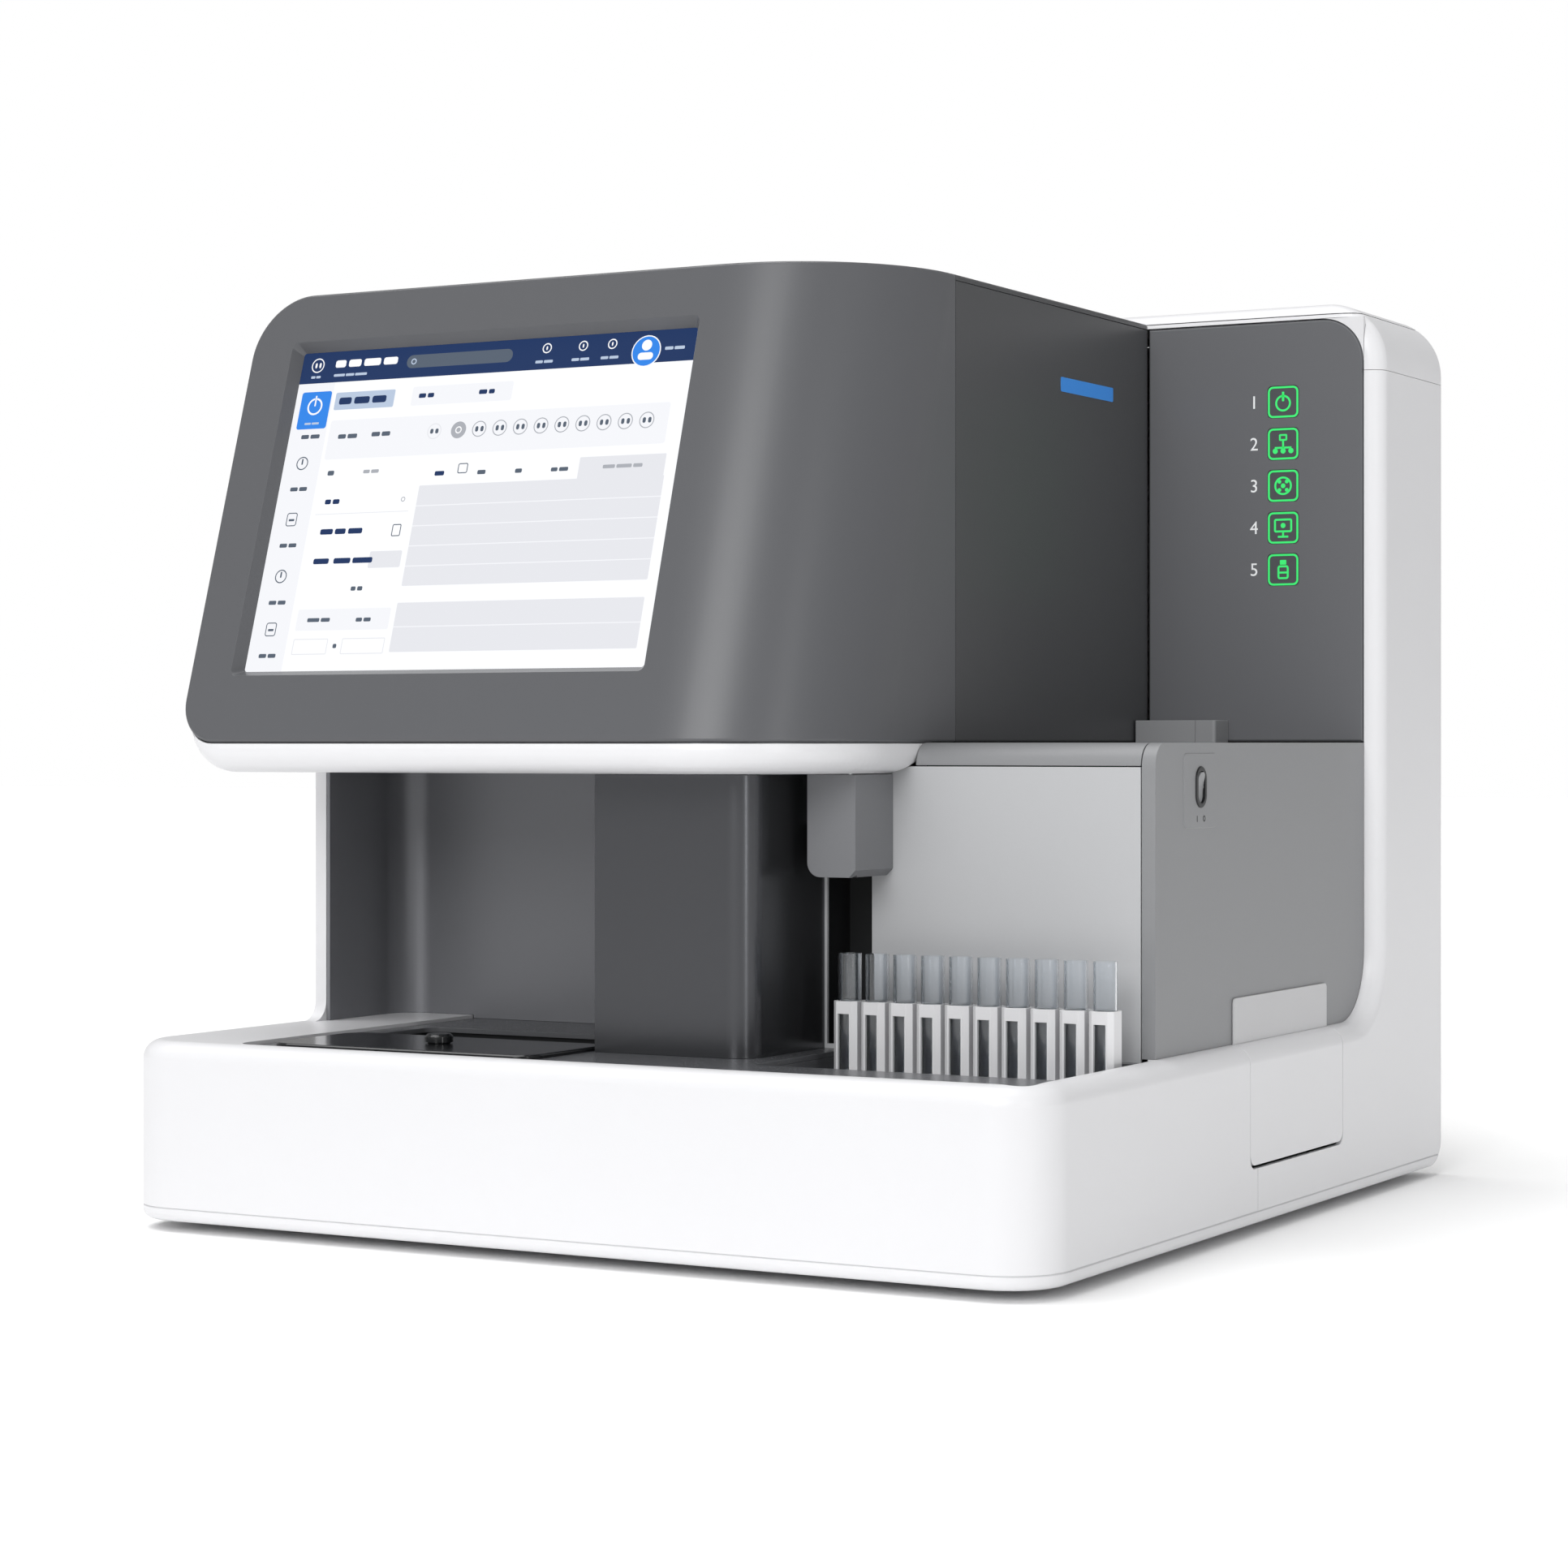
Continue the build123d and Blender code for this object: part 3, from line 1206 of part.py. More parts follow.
# Lift-off lid over the front of the reagent opening, with a lip inside it
lid_left, lid_right = opening_left - lid_overlap, opening_right + lid_overlap
lid_front = opening_front - lid_overlap
lid_back = lid_front + lid_depth
lid_top = deck_top + lid_thickness
with BuildPart() as reagent_lid:
    with BuildSketch(at_z(deck_top)):
        round_field(lid_left, lid_right, lid_front, lid_back, lid_radius)
    extrude(amount=lid_thickness)
    chamfer(reagent_lid.edges().group_by(Axis.Z)[-1], lid_edge_radius)
    with BuildSketch(at_z(deck_top)):
        round_field(opening_left + lid_play, opening_right - lid_play, opening_front + lid_play,
                    lid_back - lid_overlap, reagent_opening_radius)
        round_field(opening_left + lid_play + lid_lip_wall, opening_right - lid_play - lid_lip_wall,
                    opening_front + lid_play + lid_lip_wall, lid_back - lid_overlap - lid_lip_wall,
                    reagent_opening_radius - lid_lip_wall, mode=Mode.SUBTRACT)
    extrude(amount=-lid_lip)
reagent_lid.part.label = "reagent_lid"
export_step(reagent_lid.part, "parts/reagent_lid.step")

# Turned knob on the lid
with BuildPart() as lid_knob:
    with BuildSketch(at_z(lid_top)):
        with Locations((pot_x, front + knob_setback)):
            Circle(knob_radius)
    extrude(amount=knob_height)
    chamfer(lid_knob.edges().group_by(Axis.Z)[-1], knob_edge_radius)
    with BuildSketch(at_z(lid_top)):
        with Locations((pot_x, front + knob_setback)):
            Circle(knob_radius)
            Circle(knob_radius - knob_edge_radius, mode=Mode.SUBTRACT)
    extrude(amount=knob_edge_radius / 2, mode=Mode.SUBTRACT)
lid_knob.part.label = "lid_knob"
export_step(lid_knob.part, "parts/lid_knob.step")

# Reagent carousel with a cup for each bottle, on the shaft of its motor
carousel_low = pot_low + pot_wall + carousel_gap
carousel_top = carousel_low + carousel_plate
with BuildPart() as reagent_carousel:
    with BuildSketch(at_z(carousel_low)):
        with Locations((pot_x, pot_y)):
            Circle(carousel_radius)
    extrude(amount=carousel_plate)
    with BuildSketch(at_z(carousel_top)):
        with Locations((pot_x, pot_y)):
            Circle(hub_radius)
    extrude(amount=bottle_height / 2)
    chamfer(reagent_carousel.edges().group_by(Axis.Z)[-1], hub_radius / 3)
    with BuildSketch(at_z(carousel_top - cup_depth)):
        with Locations((pot_x, pot_y)):
            with PolarLocations(bottle_circle, bottle_count):
                Circle(bottle_radius + hairline)
    extrude(amount=carousel_plate, mode=Mode.SUBTRACT)
    with BuildSketch(at_z(pot_low - shaft_length)):
        with Locations((pot_x, pot_y)):
            Circle(shaft_radius)
    extrude(amount=shaft_length + pot_wall + carousel_gap)
reagent_carousel.part.label = "reagent_carousel"
export_step(reagent_carousel.part, "parts/reagent_carousel.step")

# Capped reagent bottles standing in the cups
bottle_low = carousel_top - cup_depth
with BuildPart() as reagent_bottles:
    with BuildSketch(at_z(bottle_low)):
        with Locations((pot_x, pot_y)):
            with PolarLocations(bottle_circle, bottle_count):
                Circle(bottle_radius)
    extrude(amount=bottle_height)
    chamfer(reagent_bottles.edges().group_by(Axis.Z)[-1], bottle_radius - cap_radius)
    with BuildSketch(at_z(bottle_low + bottle_height)):
        with Locations((pot_x, pot_y)):
            with PolarLocations(bottle_circle, bottle_count):
                Circle(cap_radius)
    extrude(amount=bottle_cap_height)
reagent_bottles.part.label = "reagent_bottles"
export_step(reagent_bottles.part, "parts/reagent_bottles.step")

# Square motors: one on the floor plate under the carousel, one hung under the reaction deck
rotor_x = frame_left_x + frame_sheet + reaction_deck_gap + reaction_deck_width / 2
rotor_y = front + rotor_setback
reaction_low = base_low + reaction_deck_level
reaction_top = reaction_low + reaction_deck_thickness
with BuildPart() as drive_motors:
    with BuildSketch(at_z(plate_top)):
        with Locations((pot_x, pot_y)):
            RectangleRounded(motor_size, motor_size, motor_radius)
    extrude(amount=pot_low - plate_top)
    with BuildSketch(at_z(reaction_low - motor_height)):
        with Locations((rotor_x, rotor_y)):
            RectangleRounded(motor_size, motor_size, motor_radius)
    extrude(amount=motor_height)
    with BuildSketch(at_z(pot_low - shaft_length)):
        with Locations((pot_x, pot_y)):
            Circle(shaft_radius + shaft_clearance)
    extrude(amount=shaft_length, mode=Mode.SUBTRACT)
    with BuildSketch(at_z(reaction_low - shaft_length)):
        with Locations((rotor_x, rotor_y)):
            Circle(shaft_radius + shaft_clearance)
    extrude(amount=shaft_length, mode=Mode.SUBTRACT)
drive_motors.part.label = "drive_motors"
export_step(drive_motors.part, "parts/drive_motors.step")

# Reaction deck on four turned posts
with BuildPart() as reaction_deck:
    with BuildSketch(at_z(reaction_low)):
        with Locations((rotor_x, rotor_y)):
            RectangleRounded(reaction_deck_width, reaction_deck_depth, post_inset)
            Circle(shaft_radius + hairline, mode=Mode.SUBTRACT)
    extrude(amount=reaction_deck_thickness)
    with BuildSketch(at_z(plate_top)):
        with Locations((rotor_x, rotor_y)):
            with GridLocations(reaction_deck_width - 2 * post_inset, reaction_deck_depth - 2 * post_inset, 2, 2):
                Circle(post_radius)
    extrude(amount=reaction_low - plate_top)
reaction_deck.part.label = "reaction_deck"
export_step(reaction_deck.part, "parts/reaction_deck.step")

# Incubation rotor with a square pocket for each cuvette
rotor_low = base_low + rotor_level
rotor_top = rotor_low + rotor_plate
with BuildPart() as incubation_rotor:
    with BuildSketch(at_z(rotor_low)):
        with Locations((rotor_x, rotor_y)):
            Circle(rotor_radius)
            with PolarLocations(cuvette_circle, cuvette_count):
                Rectangle(cuvette_size + hairline, cuvette_size + hairline, mode=Mode.SUBTRACT)
            with PolarLocations(rotor_radius / 2, 6):
                Circle(hub_radius, mode=Mode.SUBTRACT)
    extrude(amount=rotor_plate)
    with BuildSketch(at_z(reaction_top + carousel_gap)):
        with Locations((rotor_x, rotor_y)):
            Circle(hub_radius)
    extrude(amount=rotor_low - reaction_top - carousel_gap)
    with BuildSketch(at_z(reaction_low - shaft_length)):
        with Locations((rotor_x, rotor_y)):
            Circle(shaft_radius)
    extrude(amount=shaft_length + reaction_deck_thickness + carousel_gap)
incubation_rotor.part.label = "incubation_rotor"
export_step(incubation_rotor.part, "parts/incubation_rotor.step")

# Cuvettes hanging by their flanges
with BuildPart() as cuvettes:
    with BuildSketch(at_z(rotor_top + cuvette_flange - cuvette_height)):
        with Locations((rotor_x, rotor_y)):
            with PolarLocations(cuvette_circle, cuvette_count):
                Rectangle(cuvette_size, cuvette_size)
    extrude(amount=cuvette_height)
    with BuildSketch(at_z(rotor_top)):
        with Locations((rotor_x, rotor_y)):
            with PolarLocations(cuvette_circle, cuvette_count):
                Rectangle(cuvette_size + 2 * cuvette_flange, cuvette_size + 2 * cuvette_flange)
    extrude(amount=cuvette_flange)
    with BuildSketch(at_z(rotor_top + 2 * cuvette_flange - cuvette_height)):
        with Locations((rotor_x, rotor_y)):
            with PolarLocations(cuvette_circle, cuvette_count):
                Rectangle(cuvette_size - 2 * tube_wall, cuvette_size - 2 * tube_wall)
    extrude(amount=cuvette_height, mode=Mode.SUBTRACT)
cuvettes.part.label = "cuvettes"
export_step(cuvettes.part, "parts/cuvettes.step")

# Light detector that reaches over the rotor's rim
detector_left = rotor_x + rotor_radius + detector_gap
arm_low = rotor_top + cuvette_flange + detector_gap
arm_length = 2 * (rotor_radius - cuvette_circle)
with BuildPart() as detector:
    block(detector_left, detector_left + detector_width, rotor_y - detector_width / 2,
          rotor_y + detector_width / 2, reaction_top, reaction_top + detector_height)
    fillet(detector.edges().filter_by(Axis.Z), motor_radius)
    block(detector_left - arm_length, detector_left + motor_radius, rotor_y - detector_width / 4,
          rotor_y + detector_width / 4, arm_low, reaction_top + detector_height - motor_radius)
    with BuildSketch(at_z(reaction_top + detector_height)):
        with Locations((detector_left + detector_width / 2, rotor_y)):
            Circle(detector_width / 3)
    extrude(amount=detector_height / 2)
    chamfer(detector.edges().group_by(Axis.Z)[-1], motor_radius / 2)
detector.part.label = "detector"
export_step(detector.part, "parts/detector.step")

# Wash station with its needles over the rotor's left rim
wash_right = rotor_x - rotor_radius - detector_gap
wash_arm_top = reaction_top + wash_height
with BuildPart() as wash_station:
    block(wash_right - wash_width, wash_right, rotor_y - wash_width / 2, rotor_y + wash_width / 2,
          reaction_top, wash_arm_top)
    fillet(wash_station.edges().filter_by(Axis.Z), motor_radius)
    block(wash_right - motor_radius, wash_right + arm_length, rotor_y - wash_width / 2,
          rotor_y + wash_width / 2, wash_arm_top - 2 * motor_radius, wash_arm_top)
    with BuildSketch(at_z(arm_low)):
        with Locations((rotor_x - cuvette_circle, rotor_y)):
            with GridLocations(0, wash_width / 3, 1, 3):
                Circle(tube_wall)
    extrude(amount=wash_arm_top - arm_low - motor_radius)
wash_station.part.label = "wash_station"
export_step(wash_station.part, "parts/wash_station.step")

# Column of the sample probe: foot, upright plate and rail
column_x = tube_x - column_reach
column_front = tube_y + column_gap
with BuildPart() as probe_column:
    block(column_x - column_width / 2, column_x + column_width / 2, column_front, column_front + column_plate,
          shelf_top, shelf_top + column_height)
    block(column_x - column_width / 2, column_x + column_width / 2, column_front, column_front + column_foot,
          shelf_top, shelf_top + column_plate)
    fillet(probe_column.edges().filter_by(Axis.X).sort_by_distance(
        (column_x, column_front + column_plate, shelf_top + column_plate))[0], column_plate)
    fillet(probe_column.edges().filter_by(Axis.Y).group_by(Axis.Z)[-1], column_plate)
    block(column_x - rail_width / 2, column_x + rail_width / 2, column_front - rail_depth, column_front,
          shelf_top + column_plate, shelf_top + column_height - column_plate)
probe_column.part.label = "probe_column"
export_step(probe_column.part, "parts/probe_column.step")

# Carriage that rides on the rail
probe_low = base_low + probe_tip_height
carriage_top = probe_low + probe_length
with BuildPart() as probe_carriage:
    block(column_x - rail_width / 2 - carriage_margin, tube_x + carriage_margin,
          tube_y - carriage_depth_ahead, column_front - rail_clearance, carriage_top - carriage_height, carriage_top)
    block(column_x - rail_width / 2 - rail_clearance, column_x + rail_width / 2 + rail_clearance,
          column_front - rail_depth - rail_clearance, column_front,
          carriage_top - 2 * carriage_height, carriage_top + 1, mode=Mode.SUBTRACT)
    chamfer(probe_carriage.edges().filter_by(Axis.Z).group_by(Axis.Y)[0], carriage_chamfer)
    with BuildSketch(at_z(carriage_top - carriage_height)):
        with Locations((tube_x, tube_y)):
            Circle(collar_radius)
    extrude(amount=-collar_height)
    with Locations((tube_x, tube_y, carriage_top)):
        Cylinder(probe_radius, 4 * carriage_height, mode=Mode.SUBTRACT)
probe_carriage.part.label = "probe_carriage"
export_step(probe_carriage.part, "parts/probe_carriage.step")

# Steel needle with its ground tip
with BuildPart() as sample_probe:
    with BuildSketch(at_z(probe_low + collar_height)):
        with Locations((tube_x, tube_y)):
            Circle(probe_radius)
    extrude(amount=probe_length - collar_height)
    with Locations((tube_x, tube_y, probe_low + collar_height / 2)):
        Cone(probe_radius / 2, probe_radius, collar_height)
sample_probe.part.label = "sample_probe"
export_step(sample_probe.part, "parts/sample_probe.step")

# Front of the waste drawer: a piece of the base's flank and rounded rim
flank_left = body_right + hairline
with BuildPart() as drawer_front:
    add(shell_outer)
    add(shell_inner, mode=Mode.SUBTRACT)
    with BuildSketch(at_x(flank_left)) as face:
        field(drawer_y0, drawer_y1, base_low + drawer_low_height, rim_top + 1)
        fillet(face.vertices().group_by(Axis.Y)[0], drawer_corner_radius)
    extrude(amount=right - flank_left + 1, mode=Mode.INTERSECT)
drawer_front.part.label = "drawer_front"
export_step(drawer_front.part, "parts/drawer_front.step")

# Thin tab that stands on the drawer front
with BuildPart() as drawer_tab:
    with BuildSketch(at_x(flank_left)) as face:
        field(drawer_y0 + hairline, drawer_y1 - hairline, rim_top, rim_top + tab_height)
        fillet(face.vertices().group_by(Axis.Y)[-1], tab_radius)
    extrude(amount=tab_thickness)
drawer_tab.part.label = "drawer_tab"
export_step(drawer_tab.part, "parts/drawer_tab.step")

# Waste bin behind the drawer front
bin_right = right - shell_wall
bin_left = bin_right - drawer_depth
bin_low = base_low + drawer_low_height + drawer_wall
with BuildPart() as waste_bin:
    with BuildSketch(at_z(bin_low)):
        round_field(bin_left, bin_right, drawer_y0 + 2 * drawer_wall, drawer_y1 - 2 * drawer_wall, bin_radius)
    extrude(amount=base_low + drawer_bin_top - bin_low)
    with BuildSketch(at_z(bin_low + drawer_wall)):
        round_field(bin_left + drawer_wall, bin_right - drawer_wall, drawer_y0 + 3 * drawer_wall,
                    drawer_y1 - 3 * drawer_wall, bin_radius - drawer_wall)
    extrude(amount=drawer_bin_top, mode=Mode.SUBTRACT)
waste_bin.part.label = "waste_bin"
export_step(waste_bin.part, "parts/waste_bin.step")

# Two folded runners on the floor plate that carry and guide the bin
with BuildPart() as drawer_runners:
    for side, wall_y in ((1, drawer_y0 + 2 * drawer_wall - hairline), (-1, drawer_y1 - 2 * drawer_wall + hairline)):
        with BuildSketch(at_x(bin_left)):
            with BuildLine():
                Polyline((wall_y - side * frame_sheet, plate_top),
                         (wall_y - side * frame_sheet, bin_low + runner_width),
                         (wall_y, bin_low + runner_width), (wall_y, bin_low - hairline),
                         (wall_y + side * runner_width, bin_low - hairline),
                         (wall_y + side * runner_width, bin_low - hairline - frame_sheet),
                         (wall_y, bin_low - hairline - frame_sheet), (wall_y, plate_top + frame_sheet),
                         (wall_y + side * runner_width, plate_top + frame_sheet),
                         (wall_y + side * runner_width, plate_top), close=True)
            make_face()
        extrude(amount=frame_right_x - frame_sheet - frame_gap - bin_left)
drawer_runners.part.label = "drawer_runners"
export_step(drawer_runners.part, "parts/drawer_runners.step")

# Frame of the power switch, pushed into the side cover
pad_face = body_right + pad_relief
sleeve_height = switch_height - 2 * switch_lap - 2 * shaft_clearance
sleeve_width = switch_width - 2 * switch_lap - 2 * shaft_clearance
pivot_x = pad_face - rocker_drop
with BuildPart() as switch_bezel:
    with BuildSketch(at_x(pad_face)):
        with Locations((switch_y, switch_z)):
            SlotOverall(switch_height, switch_width, rotation=90)
    extrude(amount=switch_proud)
    chamfer(switch_bezel.edges().group_by(Axis.X)[-1], switch_proud / 2)
    with BuildSketch(at_x(pad_face)):
        with Locations((switch_y, switch_z)):
            SlotOverall(sleeve_height, sleeve_width, rotation=90)
    extrude(amount=-switch_depth)
    with BuildSketch(at_x(pad_face + switch_proud)):
        with Locations((switch_y, switch_z)):
            SlotOverall(sleeve_height - 2 * switch_frame, sleeve_width - 2 * switch_frame, rotation=90)
    extrude(amount=switch_frame - switch_depth, mode=Mode.SUBTRACT)
    with Locations((pivot_x, switch_y, switch_z)):
        Cylinder(rocker_pin_radius + shaft_clearance, sleeve_width + 1, rotation=(90, 0, 0), mode=Mode.SUBTRACT)
switch_bezel.part.label = "switch_bezel"
export_step(switch_bezel.part, "parts/switch_bezel.step")

# Power rocker at rest with its lower end pressed
rocker_plane = Plane(
    origin=(pivot_x, switch_y, switch_z),
    x_dir=(0, 1, 0),
    z_dir=(cos(radians(rocker_tilt)), 0, -sin(radians(rocker_tilt))),
)
rocker_height = sleeve_height - 2 * switch_frame - 2 * rocker_clearance
rocker_width = sleeve_width - 2 * switch_frame - 2 * rocker_clearance
with BuildPart() as power_rocker:
    with BuildSketch(rocker_plane.offset(-rocker_back)):
        SlotOverall(rocker_height, rocker_width, rotation=90)
    extrude(amount=rocker_back + rocker_rise)
    with Locations(rocker_plane.offset(rocker_dish + rocker_rise / 2)):
        Cylinder(rocker_dish, switch_width, rotation=(0, 90, 0), mode=Mode.SUBTRACT)
    with Locations((pivot_x, switch_y, switch_z)):
        Cylinder(rocker_pin_radius, sleeve_width - switch_frame, rotation=(90, 0, 0))
power_rocker.part.label = "power_rocker"
export_step(power_rocker.part, "parts/power_rocker.step")
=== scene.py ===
import json
import math

import bpy
from mathutils import Matrix, Vector

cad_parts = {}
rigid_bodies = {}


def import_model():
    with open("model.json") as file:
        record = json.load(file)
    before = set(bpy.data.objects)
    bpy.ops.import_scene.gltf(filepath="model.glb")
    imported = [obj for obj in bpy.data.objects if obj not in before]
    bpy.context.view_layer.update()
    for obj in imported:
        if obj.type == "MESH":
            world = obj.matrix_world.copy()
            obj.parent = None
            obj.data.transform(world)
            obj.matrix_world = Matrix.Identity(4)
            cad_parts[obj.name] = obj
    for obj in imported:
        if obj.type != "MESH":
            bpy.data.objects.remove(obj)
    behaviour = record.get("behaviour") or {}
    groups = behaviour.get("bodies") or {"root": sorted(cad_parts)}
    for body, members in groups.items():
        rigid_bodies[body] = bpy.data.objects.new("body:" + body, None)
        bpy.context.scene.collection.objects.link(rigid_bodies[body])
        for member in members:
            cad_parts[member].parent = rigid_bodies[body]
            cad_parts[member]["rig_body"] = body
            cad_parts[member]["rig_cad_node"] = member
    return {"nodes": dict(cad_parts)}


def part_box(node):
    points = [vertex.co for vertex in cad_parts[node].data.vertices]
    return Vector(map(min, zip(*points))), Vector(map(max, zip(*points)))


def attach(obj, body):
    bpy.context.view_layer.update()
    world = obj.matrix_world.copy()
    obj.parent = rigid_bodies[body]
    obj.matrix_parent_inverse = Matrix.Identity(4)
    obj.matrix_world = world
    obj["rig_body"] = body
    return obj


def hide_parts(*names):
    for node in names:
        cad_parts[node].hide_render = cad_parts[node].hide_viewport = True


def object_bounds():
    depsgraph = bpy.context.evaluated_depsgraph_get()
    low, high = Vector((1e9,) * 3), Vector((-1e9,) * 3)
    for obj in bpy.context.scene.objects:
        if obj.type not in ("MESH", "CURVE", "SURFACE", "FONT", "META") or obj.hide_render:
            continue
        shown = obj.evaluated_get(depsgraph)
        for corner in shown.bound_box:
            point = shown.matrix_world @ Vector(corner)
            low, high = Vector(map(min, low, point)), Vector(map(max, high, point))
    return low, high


bl_info = {
    "name": "Immunoassay Analyzer",
    "version": (1, 0, 0),
    "blender": (4, 5, 0),
    "location": "View3D > Sidebar > Analyzer",
    "description": "Dresses a bench-top immunoassay analyzer with finished covers, screen and lights",
    "category": "Object",
}

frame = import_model()
CAD_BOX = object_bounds()
NODES = frame["nodes"]
MM = 0.001

# The colour sockets of a mix node, which has others of the same name for numbers and vectors
MIX_FIRST, MIX_SECOND, MIX_COLOUR = 6, 7, 2
# Above this glow a finish is a lit picture and reflects next to nothing
PICTURE_GLOW = 0.9
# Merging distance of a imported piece's corners, and the turn below which its triangles become one face
MERGE = 0.01 * MM
FLAT_TURN = math.radians(0.6)
# Turns from which an edge is broken, and from which it is shaded sharp
BEVEL_TURN, SHARP_TURN = math.radians(40), math.radians(34)
# How far flat drawings stand off their panels
STAND_OFF = 0.02 * MM
# Tower: drop of the cap's seam from the top, the seam's width, the window's corner and the shell's wall
CAP_DROP, SEAM, WINDOW_RADIUS, SHELL_WALL = 43.0 * MM, 0.3 * MM, 27.0 * MM, 3.0 * MM
# Blue bar on the head's flank: length, height and corner in millimetres, and its centre's place
BAR_SIZE, BAR_Y, BAR_Z = (77.4, 8.8, 1.2), 0.0964, 0.4947


def linear(hex_colour):
    """Turns an sRGB hex colour into Blender's linear RGBA."""
    channels = [int(hex_colour[i:i + 2], 16) / 255 for i in (1, 3, 5)]
    return [c / 12.92 if c <= 0.04045 else ((c + 0.055) / 1.055) ** 2.4 for c in channels] + [1.0]


def add_node(tree, kind, settings=None, links=None):
    """Adds one shader node, sets its properties and sockets, and links sources into it."""
    node = tree.nodes.new(kind)
    for key, value in (settings or {}).items():
        if key in node.inputs:
            node.inputs[key].default_value = value
        else:
            setattr(node, key, value)
    for key, source in (links or {}).items():
        tree.links.new(source, node.inputs[key])
    return node


def surface(name, colour, roughness, metallic=0.0, coat=0.0, grain_mm=1.0, grain=0.0, drift=0.03,
            transmission=0.0, glow=0.0, ior=1.46):
    """Makes a procedural finish: base colour with slow drift, grain in the bump and in the roughness."""
    material = bpy.data.materials.new(name)
    material.use_nodes = True
    tree = material.node_tree
    tree.nodes.clear()
    place = add_node(tree, "ShaderNodeTexCoord").outputs["Object"]
    slow = add_node(tree, "ShaderNodeTexNoise", {"Scale": 9.0, "Detail": 3.0}, {"Vector": place}).outputs["Fac"]
    fine = add_node(tree, "ShaderNodeTexNoise", {"Scale": 1000.0 / grain_mm, "Detail": 2.0},
                    {"Vector": place}).outputs["Fac"]
    base = linear(colour)
    shade = [c * (1 - drift) for c in base[:3]] + [1.0]
    tint = add_node(tree, "ShaderNodeMix", {"data_type": "RGBA"}, {"Factor": slow})
    tint.inputs[MIX_FIRST].default_value = base
    tint.inputs[MIX_SECOND].default_value = shade
    rough = add_node(tree, "ShaderNodeMapRange", {"To Min": max(0.02, roughness - 0.04), "To Max": roughness + 0.04},
                     {"Value": fine}).outputs["Result"]
    bsdf = add_node(tree, "ShaderNodeBsdfPrincipled",
                    {"Metallic": metallic, "Coat Weight": coat, "Coat Roughness": 0.12,
                     "Transmission Weight": transmission, "IOR": ior},
                    {"Base Color": tint.outputs[MIX_COLOUR], "Roughness": rough})
    if grain:
        bump = add_node(tree, "ShaderNodeBump", {"Strength": grain, "Distance": 0.0002}, {"Height": fine})
        tree.links.new(bump.outputs["Normal"], bsdf.inputs["Normal"])
    if glow:
        tree.links.new(tint.outputs[MIX_COLOUR], bsdf.inputs["Emission Color"])
        bsdf.inputs["Emission Strength"].default_value = glow
    if glow > PICTURE_GLOW:
        tree.links.remove(bsdf.inputs["Base Color"].links[0])
        bsdf.inputs["Base Color"].default_value = (0.01, 0.01, 0.01, 1.0)
        bsdf.inputs["Specular IOR Level"].default_value = 0.1
    add_node(tree, "ShaderNodeOutputMaterial", None, {"Surface": bsdf.outputs["BSDF"]})
    return material


FINISHES = {}


def finish(name):
    """Gives a finish by name, made on first use."""
    if name not in FINISHES:
        FINISHES[name] = surface(name, **RECIPES[name])
    return FINISHES[name]


